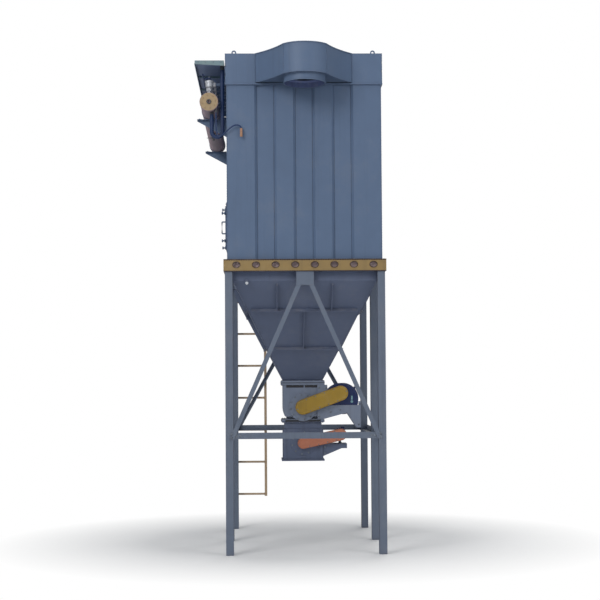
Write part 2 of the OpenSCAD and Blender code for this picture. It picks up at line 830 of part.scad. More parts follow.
// Flat bars that stand on a sloping sheet facing -Y: two level ones and three sloping ones
module sheet_ribs(top_a, top_b, offset) {
    rise = slope_z1 - outlet_z;
    run = top_b - outlet_half;
    slope = norm([rise, run]);
    gap = rib_t / 10;
    end_gap = rib_h * 1.05;
    function half_at(q) = top_a - (top_a - outlet_half) * q - end_gap;
    color(shade_blue) translate([0, -top_b, slope_z1]) rotate([atan2(run, rise), 0, 0]) {
        for (q = [rib_upper, rib_lower])
            box([-half_at(q), -rib_h, -q * slope - rib_t / 2], [half_at(q), 0, -q * slope + rib_t / 2]);
        for (x = [-offset, offset])
            box([x - rib_t / 2, -rib_h, -rib_upper * slope + rib_t / 2 + gap], [x + rib_t / 2, 0, -rib_h]);
        box([-rib_t / 2, -rib_h, -rib_lower * slope + rib_t / 2 + gap],
            [rib_t / 2, 0, -rib_upper * slope - rib_t / 2 - gap]);
    }
}

module hopper_end_ribs() {
    for (turn = [0, 180]) rotate([0, 0, turn]) sheet_ribs(hopper_x, hopper_y, rib_end_offset);
}

module hopper_side_ribs() {
    for (turn = [90, 270]) rotate([0, 0, turn]) sheet_ribs(hopper_y, hopper_x, rib_side_offset);
}

module hopper_outlet_flange() {
    hole = outlet_w - 2 * sheet_t;
    color(steel_blue) translate([0, 0, valve_z1]) linear_extrude(outlet_flange_t) difference() {
        square(outlet_flange_w, center = true);
        square(hole, center = true);
    }
}

// Upper rotary valve and its drive

module upper_valve_body() {
    flange_t = outlet_flange_t;
    color(steel_blue) union() {
        box([-outlet_flange_w / 2, -outlet_flange_w / 2, valve_z1 - flange_t],
            [outlet_flange_w / 2, outlet_flange_w / 2, valve_z1]);
        box([-valve_r, -valve_len / 2, shaft_z], [valve_r, valve_len / 2, valve_z1 - flange_t]);
        intersection() {
            translate([0, -valve_len / 2, shaft_z]) along_y(valve_r, valve_len);
            box([-valve_r, -valve_len, valve_z0 + valve_neck_h], [valve_r, valve_len, shaft_z]);
        }
        box([-lower_flange_w / 2, -lower_flange_w / 2, valve_z0],
            [lower_flange_w / 2, lower_flange_w / 2, valve_z0 + lower_flange_t]);
        box([-valve_neck_w / 2, -valve_neck_w / 2, valve_z0], [valve_neck_w / 2, valve_neck_w / 2, shaft_z]);
        translate([0, end_face_y, shaft_z]) along_y(end_cover_r, valve_len + 2 * end_cover_t);
    }
}

// Outline of a chain guard: a round end at the shaft, and one at the far end of a rising line
function guard_outline(span, rise, r) =
    let (lean = atan2(rise, span), steps = 28)
    concat(
        [for (i = [0 : steps]) let (t = lean + 90 + 180 * i / steps) r * [cos(t), sin(t)]],
        [for (i = [0 : steps]) let (t = lean - 90 + 180 * i / steps) [span, rise] + r * [cos(t), sin(t)]]);

// A chain guard: a flat box with two round ends, in front of a drive
module chain_guard(face_y, z, span, rise, r) {
    translate([0, face_y, z]) rotate([90, 0, 0]) linear_extrude(guard_t)
        polygon(guard_outline(span, rise, r));
}

module upper_chain_guard() {
    color(guard_yellow) chain_guard(end_face_y, shaft_z, guard_span_x, guard_rise, guard_r);
}

module upper_gear_motor() {
    fan_r = motor_r + 6;
    front_y = -valve_len / 2;
    color(motor_blue) union() {
        translate([guard_span_x, end_face_y, shaft_z + guard_rise])
            along_y(guard_r * 0.6, end_cover_t + bracket_t);
        translate([gear_x, front_y, gear_z]) union() {
            along_y(gear_flange_r, gear_flange_t);
            along_y(gear_r, gear_len);
            translate([0, gear_len, 0]) along_y(motor_r, motor_len);
            translate([0, gear_len + motor_len, 0]) along_y(fan_r, motor_r / 2);
            translate([motor_r / 2, gear_len + motor_len / 4, motor_r / 2])
                cube([motor_r * 0.9, motor_len / 2, motor_r * 0.7]);
        }
    }
}

// Bracket that carries the upper drive: a front cheek that bears on the valve, a rear cheek, a sloping
// plate under the gear case and a knee that drops at the far end
module upper_motor_bracket() {
    y0 = end_face_y;
    y1 = -valve_len / 2 + gear_len + bracket_t;
    low = gear_r + bracket_t;
    under = [gear_x, gear_z] + low * [sin(bracket_slope), -cos(bracket_slope)];
    function plate_z(x) = under[1] + (x - under[0]) * tan(bracket_slope);
    near = lower_flange_w / 2 + 2;
    near_front = end_cover_r + 6;
    arm = gear_x + gear_r * 0.3;
    knee_z = gear_z - knee_drop;
    front_z = gear_z - gear_r * 0.48;
    tall_z = valve_z1 - outlet_flange_t - 1;
    side_z = gear_z - gear_r * 0.2;
    rear_z = gear_z - motor_r - 4;
    edge = [[near, plate_z(near)], [arm, plate_z(arm)], [knee_reach - knee_w, knee_z], [knee_reach, knee_z]];
    color(steel_blue) union() {
        translate([0, y0 + end_cover_t, 0]) rotate([90, 0, 0]) linear_extrude(end_cover_t) polygon(concat(
            [[near_front, tall_z], [near_front, plate_z(near)]], edge,
            [[knee_reach, side_z], [gear_x + gear_flange_r, side_z], [gear_x + gear_flange_r, front_z],
            [gear_x - gear_r, front_z], [gear_x - gear_flange_r, tall_z]]));
        translate([0, y1, 0]) rotate([90, 0, 0]) linear_extrude(bracket_t) polygon(concat(
            [[near, rear_z]], edge, [[knee_reach, rear_z]]));
        difference() {
            translate([0, y1, 0]) rotate([90, 0, 0]) linear_extrude(y1 - y0) polygon([
                [near, plate_z(near)], [arm, plate_z(arm)],
                [arm, plate_z(arm) + bracket_t / cos(bracket_slope)],
                [near, plate_z(near) + bracket_t / cos(bracket_slope)]]);
            translate([gear_x, y0 + end_cover_t, gear_z]) along_y(gear_flange_r + 1, gear_flange_t + 1);
        }
        box([knee_reach - knee_w, y0, knee_z], [knee_reach, y1, knee_z + bracket_t]);
    }
}

// Lower rotary valve and its drive

module lower_valve_body() {
    inner = lower_w - 2 * lower_t;
    collar_inner = collar_w - 2 * lower_t;
    shoulder_z = lower_z1 - collar_h;
    color(steel_blue) difference() {
        union() {
            translate([-lower_w / 2, -lower_w / 2, lower_z0 + lower_flange_t])
                cube([lower_w, lower_w, lower_h - lower_flange_t - collar_h]);
            translate([-collar_w / 2, -collar_w / 2, shoulder_z]) cube([collar_w, collar_w, collar_h]);
            translate([-lower_flange_w / 2, -lower_flange_w / 2, lower_z1 - lower_flange_t])
                cube([lower_flange_w, lower_flange_w, lower_flange_t]);
        }
        translate([-inner / 2, -inner / 2, lower_z0]) cube([inner, inner, lower_h - collar_h - lower_t]);
        translate([-collar_inner / 2, -collar_inner / 2, lower_z0])
            cube([collar_inner, collar_inner, lower_h + 1]);
    }
}

module lower_valve_flange() {
    inner = lower_w - 2 * lower_t;
    p = outlet_bolt_pitch / 2;
    color(steel_blue) translate([0, 0, lower_z0]) linear_extrude(lower_flange_t) difference() {
        square(lower_flange_w, center = true);
        square(inner, center = true);
        for (x = [-p, p], y = [-p, p]) translate([x, y]) circle(d = outlet_bolt_d);
    }
}

module lower_valve_rotor() {
    len = lower_w - 2 * lower_t;
    root_r = rotor_hub_r * 0.8;
    color(cast_silver) translate([0, len / 2, lower_shaft_z]) rotate([90, 0, 0]) linear_extrude(len) {
        circle(r = rotor_hub_r);
        for (k = [0 : vane_count - 1]) rotate((k + 0.25) * 360 / vane_count)
            translate([-vane_t / 2, root_r]) square([vane_t, rotor_r - root_r]);
    }
}

module lower_chain_guard() {
    color(guard_orange)
        chain_guard(lower_face_y, lower_shaft_z, lower_guard_span_x, lower_guard_rise, lower_guard_r);
}

module lower_gear_motor() {
    color(motor_blue) translate([lower_guard_span_x, lower_face_y, small_motor_z]) union() {
        along_y(small_motor_r, small_motor_len);
        for (share = [0.3, 0.65]) translate([0, small_motor_len * share, -small_motor_foot])
            cylinder(r = small_post_r, h = small_motor_foot);
    }
}

module lower_motor_bracket() {
    top_z = small_motor_z - small_motor_foot;
    arm = lower_guard_span_x + small_motor_r * 1.15;
    wall = lower_w / 2;
    color(steel_blue) {
        for (y = [lower_face_y + bracket_t, lower_face_y + bracket_d])
            translate([0, y, 0]) rotate([90, 0, 0]) linear_extrude(bracket_t) polygon([
                [wall, top_z - bracket_t], [arm, top_z - bracket_t], [arm, top_z - 5 * bracket_t],
                [arm - small_motor_r, top_z - 5 * bracket_t], [wall, lower_z0 + 3 * lower_flange_t]]);
        box([wall, lower_face_y, top_z - bracket_t], [arm, lower_face_y + bracket_d, top_z]);
    }
}

// Pulse header on the left side

module air_tank() {
    color(tank_mauve) translate([tank_x, tank_front_y, tank_z]) along_y(tank_r, tank_len);
}

module air_tank_caps() {
    color(band_yellow) {
        translate([tank_x, tank_front_y - cap_t, tank_z]) difference() {
            along_y(tank_r, cap_t);
            translate([0, -1, 0]) along_y(port_r, cap_t + 2);
        }
        translate([tank_x, -tank_front_y, tank_z]) along_y(tank_r, cap_t);
    }
}

// A riser from the tank and a valve with its cover and pilot
module pulse_valve() {
    color(cast_silver) {
        difference() {
            translate([tank_x, 0, tank_z]) cylinder(r = pipe_r, h = blow_z - pulse_h / 2 - tank_z);
            translate([tank_x, -2 * tank_r, tank_z]) along_y(tank_r, 4 * tank_r);
        }
        translate([tank_x, 0, blow_z - pulse_h / 2]) cylinder(r = pulse_r, h = pulse_h);
        translate([tank_x, 0, blow_z + pulse_h / 2]) cylinder(r = pulse_cover_r, h = pulse_cover_t);
        translate([tank_x, 0, blow_z + pulse_h / 2 + pulse_cover_t]) cylinder(r = pipe_r * 0.8, h = pulse_h);
    }
}

// A blow pipe from a valve to the head box
module blow_pipe() {
    color(steel_blue) difference() {
        translate([tank_x, 0, blow_z]) along_x(pipe_r, -head_x - tank_x);
        translate([tank_x, 0, blow_z - pulse_h]) cylinder(r = pulse_r, h = 2 * pulse_h);
    }
}

module at_each_valve() {
    for (i = [0 : pulse_count - 1])
        translate([0, (i - (pulse_count - 1) / 2) * pulse_pitch, 0]) children();
}

// A three-cornered bracket with a shelf, from the housing wall to under the tank
module tank_bracket() {
    top_z = tank_z - tank_r;
    color(steel_blue) union() {
        translate([0, tank_bracket_t / 2, 0]) rotate([90, 0, 0]) linear_extrude(tank_bracket_t) polygon([
            [wall_x, top_z], [canopy_x0, top_z], [canopy_x0, top_z - 2 * tank_bracket_t],
            [wall_x, top_z - tank_bracket_h]]);
        box([canopy_x0, -shelf_w / 2, top_z - tank_bracket_t], [wall_x, shelf_w / 2, top_z]);
    }
}

module tank_brackets() {
    for (y = [bracket_front_y, bracket_rear_y]) translate([0, y, 0]) tank_bracket();
}

// A shallow tray turned over the valves, held off the head box by short plates
module valve_canopy() {
    len = 2 * head_y;
    inner_skirt = canopy_skirt_h + 18;
    color(canopy_grey) {
        difference() {
            box([canopy_x0, -head_y, canopy_z - inner_skirt], [canopy_x1, head_y, canopy_z]);
            box([canopy_x0 + canopy_t, -head_y + canopy_t, canopy_z - 2 * inner_skirt],
                [canopy_x1 + 1, head_y - canopy_t, canopy_z - canopy_t]);
            rotate([90, 0, 0]) linear_extrude(2 * len, center = true) polygon([
                [canopy_x0 - 1, canopy_z - canopy_skirt_h], [canopy_x1 + 1, canopy_z - inner_skirt - 1],
                [canopy_x1 + 1, canopy_z - 3 * inner_skirt], [canopy_x0 - 1, canopy_z - 3 * inner_skirt]]);
        }
        for (y = [-head_y * 0.8, 0, head_y * 0.8])
            box([canopy_x1, y - 20, canopy_z - canopy_t], [-head_x, y + 20, canopy_z]);
    }
}

// Cable, hose and the fittings at their ends

module hanging_cable() {
    color(cable_navy) swept_bar([for (p = cable_route) [p.x, cable_y, p.y]], cable_d / 2);
}

module air_hose() {
    color(cable_navy) swept_bar(hose_route, hose_d / 2);
}

// A nipple under the tank that takes a hose or cable end
module tank_nipple(x, y, z, r) {
    difference() {
        translate([x, y, z]) cylinder(r = r, h = tank_z - z);
        translate([tank_x, y - 2 * r, tank_z]) along_y(tank_r, 4 * r);
    }
}

module line_fittings() {
    color(cast_silver) {
        tank_nipple(cable_x - cable_loop_w, cable_y, cable_end_z, cable_d * 0.55);
        tank_nipple(hose_top.x, hose_top.y, hose_top.z, hose_d);
        translate([cable_x, cable_y, cable_top_z]) cylinder(r = cable_d / 2, h = gland_h);
    }
}

module hose_coupling() {
    color(guard_orange) translate(hose_end) union() {
        translate([0, 0, -coupling_h]) cylinder(r = coupling_r, h = coupling_h);
        translate([0, 0, -coupling_h * 0.7]) along_y(coupling_r * 0.7, hose_out);
    }
}

// Dust inlet on the rear wall: a pad plate, a nozzle and a flange

module at_inlet() {
    translate([inlet_x, half_d, band_z1 + inlet_up]) children();
}

module inlet_pad() {
    color(steel_blue) at_inlet() difference() {
        translate([-inlet_pad_w / 2, 0, -inlet_pad_w / 2]) cube([inlet_pad_w, inlet_pad_t, inlet_pad_w]);
        translate([0, -1, 0]) along_y(inlet_r, inlet_pad_t + 2);
    }
}

module inlet_nozzle() {
    color(steel_blue) at_inlet() difference() {
        translate([0, inlet_pad_t, 0]) along_y(inlet_r + inlet_t, inlet_len - inlet_pad_t - inlet_flange_t);
        along_y(inlet_r, inlet_len);
    }
}

module inlet_flange() {
    color(steel_blue) at_inlet() translate([0, inlet_len - inlet_flange_t, 0]) difference() {
        along_y(inlet_flange_r, inlet_flange_t);
        translate([0, -1, 0]) along_y(inlet_r, inlet_flange_t + 2);
        for (k = [0 : inlet_bolt_count - 1]) rotate([0, (k + 0.5) * 360 / inlet_bolt_count, 0])
            translate([inlet_bolt_pcd / 2, -1, 0]) along_y(inlet_bolt_d / 2, inlet_flange_t + 2);
    }
}

// Inspection door on the left wall

module inspection_door() {
    z = band_z1 + door_up;
    y = -half_d + door_back;
    w = door_w + 2 * door_frame_w;
    h = door_h + 2 * door_frame_w;
    color(steel_blue) translate([wall_x, y, z]) union() {
        translate([-door_t, -w / 2, -h / 2]) cube([door_t, w, h]);
        translate([-2 * door_t, -door_w / 2, -door_h / 2]) cube([door_t, door_w, door_h]);
    }
}

// Ladder on the rear side

module ladder_stiles() {
    half = (ladder_w - stile_w) / 2;
    color(ladder_tan) for (side = [-1, 1]) translate([ladder_x + side * half, ladder_y, 0])
        box([-stile_w / 2, 0, stile_z0], [stile_w / 2, stile_d, roof_z]);
}

// Flat stays from the stiles to the ring beam, the head box, the tie beam and a rear leg
module ladder_stays() {
    half = (ladder_w - stile_w) / 2;
    thick = stile_d / 2;
    band_mid = leg_h + band_h / 2;
    head_mid = (head_z0 + head_z1) / 2;
    color(ladder_tan) {
        for (side = [-1, 1]) translate([ladder_x + side * half, 0, 0]) {
            box([-stile_w / 2, band_y, band_mid], [stile_w / 2, ladder_y, band_mid + thick]);
            box([-stile_w / 2, head_y, head_mid], [stile_w / 2, ladder_y, head_mid + thick]);
        }
        box([ladder_x + half - stile_w / 2, leg_face_y - leg_flange_t + tie_t, tie_z + tie_w / 2],
            [ladder_x + half + stile_w / 2, ladder_y, tie_z + tie_w / 2 + thick]);
        box([ladder_x - half - stile_w / 2, leg_face_y, rung_first_z + rung_pitch],
            [ladder_x - half + stile_w / 2, ladder_y, rung_first_z + rung_pitch + thick]);
    }
}

module ladder_rungs() {
    len = ladder_w - 2 * stile_w;
    color(ladder_tan) for (i = [0 : rung_count - 1])
        translate([ladder_x - len / 2, ladder_y + stile_d / 2, rung_first_z + i * rung_pitch])
            along_x(rung_r, len);
}

leg_pair(-leg_y);  // front_legs
leg_pair(0, middle_leg_out);  // middle_legs
leg_pair(leg_y);  // rear_legs
foot_plates();
front_and_rear() end_tie_beam();  // end_tie_beams
side_tie_beams();
hanger(hanger_front_w, hanger_front_h);  // front_hanger
both_sides() brace(hanger_front_w, leg_h - hanger_front_h);  // front_braces
rotate([0, 0, 180]) hanger(hanger_rear_w, hanger_rear_h);  // rear_hanger
rear_braces();
front_and_rear() ring_end();  // ring_beam_ends
both_sides() ring_side();  // ring_beam_sides
ring_beam_lining();
housing_end_wall();  // housing_front_wall
housing_rear_wall();
rotate([0, 0, 180]) housing_side_wall();  // housing_left_wall
housing_side_wall();  // housing_right_wall
head_flange_bars();
head_front_wall();
head_rear_wall();
head_side_walls();
roof_sheet();
lifting_lugs();
hood_wall();
hood_roof();
hood_floor();
outlet_spigot();
front_and_rear() hopper_sheet(hopper_x, hopper_y);  // hopper_end_sheets
hopper_side_sheets();
hopper_end_ribs();
hopper_side_ribs();
hopper_outlet_flange();
upper_valve_body();
upper_chain_guard();
upper_gear_motor();
upper_motor_bracket();
lower_valve_body();
lower_valve_flange();
lower_valve_rotor();
lower_chain_guard();
lower_gear_motor();
lower_motor_bracket();
air_tank();
air_tank_caps();
at_each_valve() pulse_valve();  // pulse_valves
at_each_valve() blow_pipe();  // blow_pipes
tank_brackets();
valve_canopy();
hanging_cable();
air_hose();
hose_coupling();
line_fittings();
inlet_pad();
inlet_nozzle();
inlet_flange();
inspection_door();
ladder_stiles();
ladder_rungs();
ladder_stays();
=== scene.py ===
"""Looks of the baghouse filter: weathered paints, bolts, welds, drives, valves and lines."""

import json
import random
from math import asin, atan2, cos, hypot, pi, radians, sin

import bmesh
import bpy
from mathutils import Matrix, Vector


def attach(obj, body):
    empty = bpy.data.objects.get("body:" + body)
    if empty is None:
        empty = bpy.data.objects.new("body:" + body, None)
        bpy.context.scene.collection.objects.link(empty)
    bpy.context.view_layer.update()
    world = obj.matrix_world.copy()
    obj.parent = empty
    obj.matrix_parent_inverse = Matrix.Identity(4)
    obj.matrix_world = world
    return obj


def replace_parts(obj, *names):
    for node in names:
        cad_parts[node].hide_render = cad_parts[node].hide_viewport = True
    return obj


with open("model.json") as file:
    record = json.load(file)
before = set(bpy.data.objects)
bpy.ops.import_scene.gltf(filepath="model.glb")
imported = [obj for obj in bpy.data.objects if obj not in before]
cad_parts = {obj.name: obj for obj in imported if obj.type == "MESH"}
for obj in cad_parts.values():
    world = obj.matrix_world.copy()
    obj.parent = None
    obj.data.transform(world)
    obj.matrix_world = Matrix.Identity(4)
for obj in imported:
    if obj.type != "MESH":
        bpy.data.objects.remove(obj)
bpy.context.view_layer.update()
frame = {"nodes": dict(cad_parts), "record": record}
random.seed(7)

UP = Vector((0, 0, 1))
FRONT, REAR = Vector((0, -1, 0)), Vector((0, 1, 0))
LEFT, RIGHT = Vector((-1, 0, 0)), Vector((1, 0, 0))


# Colours, written as the eye sees them

def seen(r, g, b):
    """Turns a colour in 0 to 255 screen values into the linear colour a shader takes."""
    def one(v):
        v = v / 255
        return v / 12.92 if v <= 0.04045 else ((v + 0.055) / 1.055) ** 2.4
    return (one(r), one(g), one(b), 1.0)


STEEL_BLUE = seen(87, 107, 136)
# SHADE_BLUE is the wall paint made darker: painted shade for the hopper, the lower valve and the inside of
# the ring beam.
SHADE_BLUE = seen(87, 98, 123)
LEG_GREY = seen(99, 110, 128)
VALVE_GREY = seen(118, 129, 150)
BAND_OCHRE = seen(147, 122, 76)
BAND_SHADE_DARK = seen(54, 40, 34)
GUARD_YELLOW = seen(166, 133, 43)
GUARD_ORANGE = seen(188, 116, 88)
CAP_TAN = seen(164, 141, 107)
LADDER_TAN = seen(186, 160, 130)
TANK_BROWN = seen(164, 142, 152)
LINING_PAINTED_LIGHT = seen(236, 208, 208)
COUPLING_RUST = seen(168, 122, 92)
OPENING_SHADE_BLUE = seen(84, 98, 142)
CREASE_SHADE_DARK = seen(58, 72, 96)
MOTOR_NAVY = seen(16, 38, 88)
CANOPY_TEAL = seen(112, 136, 142)
CANOPY_SHADE = seen(100, 116, 162)
CABLE_NAVY = seen(10, 44, 90)
CAST_PALE = seen(205, 208, 214)
CAST_DARK = seen(92, 92, 96)
BOLT_ZINC = seen(118, 126, 138)
BOLT_NAVY = seen(40, 58, 98)
PLUG_BRIGHT = seen(225, 228, 232)
GASKET_AND_SHADE_BLACK = seen(34, 34, 38)
SIGHT_GLINT_TEAL = seen(128, 168, 178)
RUST = seen(112, 66, 40)
DUST = seen(170, 162, 148)
# GRIME_AND_SHADE colours grime and stains, and is also the painted shade on faces that look down.
GRIME_AND_SHADE = seen(44, 46, 54)


# Shader node helpers

class Net:
    """Adds nodes to a tree and links them in one step."""

    def __init__(self, tree):
        self.tree = tree

    def node(self, kind, **values):
        n = self.tree.nodes.new(kind)
        for key, value in values.items():
            setattr(n, key, value)
        return n

    def put(self, socket, value):
        if hasattr(value, "is_output"):
            self.tree.links.new(value, socket)
        elif value is not None:
            socket.default_value = value

    def math(self, operation, a, b=None, clamp=False):
        n = self.node("ShaderNodeMath", operation=operation, use_clamp=clamp)
        self.put(n.inputs[0], a)
        if b is not None:
            self.put(n.inputs[1], b)
        return n.outputs[0]

    def times(self, a, b):
        return self.math("MULTIPLY", a, b)

    def plus(self, a, b, clamp=False):
        return self.math("ADD", a, b, clamp)

    def minus(self, a, b):
        return self.math("SUBTRACT", a, b)

    def span(self, value, low, high, out_low=0.0, out_high=1.0):
        n = self.node("ShaderNodeMapRange", clamp=True)
        for socket, v in zip(n.inputs, (value, low, high, out_low, out_high)):
            self.put(socket, v)
        return n.outputs[0]

    def blend(self, amount, a, b):
        n = self.node("ShaderNodeMix", data_type="RGBA", blend_type="MIX")
        self.put(n.inputs[0], amount)
        self.put(n.inputs[6], a)
        self.put(n.inputs[7], b)
        return n.outputs[2]

    def noise(self, place, scale, detail=4.0, rough=0.55):
        n = self.node("ShaderNodeTexNoise")
        self.put(n.inputs["Vector"], place)
        for key, v in (("Scale", scale), ("Detail", detail), ("Roughness", rough)):
            n.inputs[key].default_value = v
        return n.outputs["Fac"]

    def stretch(self, place, by):
        n = self.node("ShaderNodeVectorMath", operation="MULTIPLY")
        self.put(n.inputs[0], place)
        n.inputs[1].default_value = by
        return n.outputs[0]

    def split(self, vector):
        n = self.node("ShaderNodeSeparateXYZ")
        self.put(n.inputs[0], vector)
        return n.outputs

    def show_mix(self, output, amount, a, b):
        mix = self.node("ShaderNodeMixShader")
        for socket, value in zip(mix.inputs, (amount, a.outputs[0], b.outputs[0])):
            self.put(socket, value)
        self.put(self.tree.nodes[output].inputs["Surface"], mix.outputs[0])


def new_group(name, inputs, outputs):
    tree = bpy.data.node_groups.new(name, "ShaderNodeTree")
    for label, kind, value in inputs:
        s = tree.interface.new_socket(name=label, in_out="INPUT", socket_type=kind)
        s.default_value = value
    for label, kind in outputs:
        tree.interface.new_socket(name=label, in_out="OUTPUT", socket_type=kind)
    given = tree.nodes.new("NodeGroupInput").outputs
    return tree, given, tree.nodes.new("NodeGroupOutput").inputs


def make_weather_group():
    """Old outdoor paint: mottling, rain streaks, dust on ledges, rust and bare edges, and painted shade on
    faces that look down.
    """
    colour, number = "NodeSocketColor", "NodeSocketFloat"
    tree, given, result = new_group(
        "weathered_paint",
        [("Paint", colour, STEEL_BLUE), ("Rust", colour, RUST), ("Dust", colour, DUST),
         ("Grime", colour, GRIME_AND_SHADE), ("Mottle", number, 0.3), ("Streaks", number, 0.3),
         ("Dustiness", number, 0.3), ("Rustiness", number, 0.2), ("Edge wear", number, 0.4),
         ("Underside", number, 0.2), ("Gloss", number, 0.45)],
        [("Color", colour), ("Roughness", number), ("Metallic", number), ("Height", number)])
    n = Net(tree)
    place = n.node("ShaderNodeTexCoord").outputs["Object"]
    shape = n.node("ShaderNodeNewGeometry")
    facing_up = n.split(shape.outputs["Normal"])["Z"]

    patches = n.noise(place, 1.7, 5, 0.6)
    cloud = n.noise(place, 9.0, 4, 0.6)
    grain = n.noise(place, 160.0, 3, 0.5)
    rain = n.noise(n.stretch(place, (16, 16, 0.55)), 1.0, 5, 0.62)
    drips = n.noise(n.stretch(place, (46, 46, 1.5)), 1.0, 3, 0.5)
    spots = n.noise(place, 34.0, 6, 0.65)

    tone = n.plus(n.times(patches, 0.6), n.times(cloud, 0.4))
    pale = n.times(n.span(tone, 0.5, 0.68), given["Mottle"])
    dark = n.times(n.span(tone, 0.5, 0.34), given["Mottle"])
    surface = n.blend(pale, given["Paint"], given["Dust"])
    surface = n.blend(dark, surface, given["Grime"])

    streak = n.times(n.span(rain, 0.5, 0.72), n.span(drips, 0.3, 0.62))
    upright_face = n.minus(1.0, n.math("ABSOLUTE", facing_up))
    streak = n.times(n.times(streak, upright_face), given["Streaks"])
    surface = n.blend(streak, surface, given["Grime"])

    lying = n.span(facing_up, 0.35, 0.95)
    dusty = n.times(n.times(lying, n.span(cloud, 0.25, 0.6)), given["Dustiness"])
    surface = n.blend(dusty, surface, given["Dust"])
    # Painted shade: faces that look down blend towards the grime colour.
    shade_below = n.times(n.span(facing_up, -0.75, -0.98), given["Underside"])
    surface = n.blend(shade_below, surface, given["Grime"])

    soft = n.node("ShaderNodeBevel", samples=4)
    soft.inputs["Radius"].default_value = 0.007
    turn = n.node("ShaderNodeVectorMath", operation="DOT_PRODUCT")
    n.put(turn.inputs[0], soft.outputs["Normal"])
    n.put(turn.inputs[1], shape.outputs["Normal"])
    edge = n.span(turn.outputs["Value"], 0.995, 0.8)
    worn = n.times(n.times(edge, n.span(spots, 0.42, 0.62)), given["Edge wear"])
    specks = n.times(n.span(spots, 0.62, 0.74), n.span(patches, 0.42, 0.66))
    rusty = n.math("MAXIMUM", n.times(specks, given["Rustiness"]), worn)

    rough = n.plus(given["Gloss"], n.times(n.minus(cloud, 0.5), 0.3))
    rough = n.plus(rough, n.times(n.math("MAXIMUM", rusty, dusty), 0.35), clamp=True)
    height = n.plus(n.times(grain, 0.25), n.times(cloud, 0.5))
    n.put(result["Color"], n.blend(rusty, surface, given["Rust"]))
    n.put(result["Roughness"], rough)
    n.put(result["Metallic"], n.times(worn, 0.25))
    n.put(result["Height"], n.minus(height, n.times(rusty, 0.7)))
    return tree


def make_cast_group():
    """Cast or plated metal: fine pitting, soft stains and brighter rubbed patches."""
    colour, number = "NodeSocketColor", "NodeSocketFloat"
    tree, given, result = new_group(
        "cast_metal",
        [("Metal", colour, CAST_PALE), ("Stain", colour, GRIME_AND_SHADE), ("Staining", number, 0.3),
         ("Grain size", number, 220.0)],
        [("Color", colour), ("Roughness", number), ("Height", number)])
    n = Net(tree)
    place = n.node("ShaderNodeTexCoord").outputs["Object"]
    cloud = n.noise(place, 24.0, 5, 0.6)
    pits = n.node("ShaderNodeTexNoise")
    n.put(pits.inputs["Vector"], place)
    n.put(pits.inputs["Scale"], given["Grain size"])
    pits.inputs["Detail"].default_value = 2.0
    stain = n.times(n.span(cloud, 0.48, 0.7), given["Staining"])
    n.put(result["Color"], n.blend(stain, given["Metal"], given["Stain"]))
    n.put(result["Roughness"], n.span(cloud, 0.3, 0.7, 0.32, 0.6))
    n.put(result["Height"], pits.outputs["Fac"])
    return tree


WEATHER = make_weather_group()
CAST = make_cast_group()


# Finishes; the parts take them by material slot or by node

def new_material(name):
    m = bpy.data.materials.new(name)
    m.use_nodes = True
    return m, Net(m.node_tree), m.node_tree.nodes["Principled BSDF"]


def finish_from(tree, name, values, bump, depth):
    """A material whose channels come from one of the two groups."""
    m, n, shader = new_material(name)
    group = n.node("ShaderNodeGroup", node_tree=tree)
    for key, value in values.items():
        group.inputs[key].default_value = value
    for source, channel in (("Color", "Base Color"), ("Roughness", "Roughness"), ("Metallic", "Metallic")):
        if source in group.outputs:
            n.put(shader.inputs[channel], group.outputs[source])
    grain = n.node("ShaderNodeBump")
    grain.inputs["Strength"].default_value = bump
    grain.inputs["Distance"].default_value = depth
    n.put(grain.inputs["Height"], group.outputs["Height"])
    n.put(shader.inputs["Normal"], grain.outputs["Normal"])
    return m, shader


PAINT_AMOUNTS = ("Mottle", "Streaks", "Dustiness", "Rustiness", "Edge wear", "Gloss")


def weathered(name, slot, paint, amounts, **more):
    """A painted finish; the amounts are in the order of PAINT_AMOUNTS."""
    values = {"Paint": paint, **dict(zip(PAINT_AMOUNTS, amounts)), **more}
    return finish_from(WEATHER, name, values, 0.18, 0.004)[0]


def cast_finish(name, metal, staining, metallic, grain_size=220.0):
    values = {"Metal": metal, "Staining": staining, "Grain size": grain_size}
    m, shader = finish_from(CAST, name, values, 0.15, 0.0008)
    shader.inputs["Metallic"].default_value = metallic
    return m


steel = weathered("blue_grey_paint", "steel_paint",
                  STEEL_BLUE, (0.07, 0.14, 0.25, 0.16, 0.22, 0.55), Underside=0.3)
leg_steel = weathered("grey_frame_paint", "steel_paint", LEG_GREY, (0.08, 0.22, 0.25, 0.3, 0.35, 0.55))
valve_steel = weathered("grey_valve_paint", "steel_paint", VALVE_GREY, (0.12, 0.25, 0.35, 0.25, 0.35, 0.55))
# The hopper, lower valve and lower bracket take the darker copy of the wall paint as painted shade.
shaded_hopper_steel = weathered("shaded_blue_grey_hopper_paint", "steel_paint",
                         SHADE_BLUE, (0.08, 0.2, 0.25, 0.2, 0.22, 0.58))
opening_shade = weathered("painted_opening_shade", "steel_paint", OPENING_SHADE_BLUE, (0.3, 0.3, 0.1, 0.2, 0.1, 0.75))
crease_shade = weathered("painted_crease_shade", "steel_paint", CREASE_SHADE_DARK, (0.2, 0.3, 0.1, 0.1, 0.0, 0.7))
ochre = weathered("ochre_paint", "band_paint", BAND_OCHRE, (0.16, 0.3, 0.25, 0.6, 0.6, 0.6))
ochre_shade = weathered("ochre_hole_rim_painted_shade", "band_paint", BAND_SHADE_DARK, (0.2, 0.3, 0.2, 0.9, 0.5, 0.65))
cap_tan = weathered("tan_tank_cap_paint", "band_paint", CAP_TAN, (0.22, 0.25, 0.2, 0.5, 0.4, 0.6))
yellow = weathered("yellow_guard_paint", "guard_yellow", GUARD_YELLOW, (0.14, 0.2, 0.3, 0.3, 0.5, 0.48))
orange = weathered("orange_guard_paint", "guard_orange", GUARD_ORANGE, (0.16, 0.25, 0.3, 0.3, 0.5, 0.55))
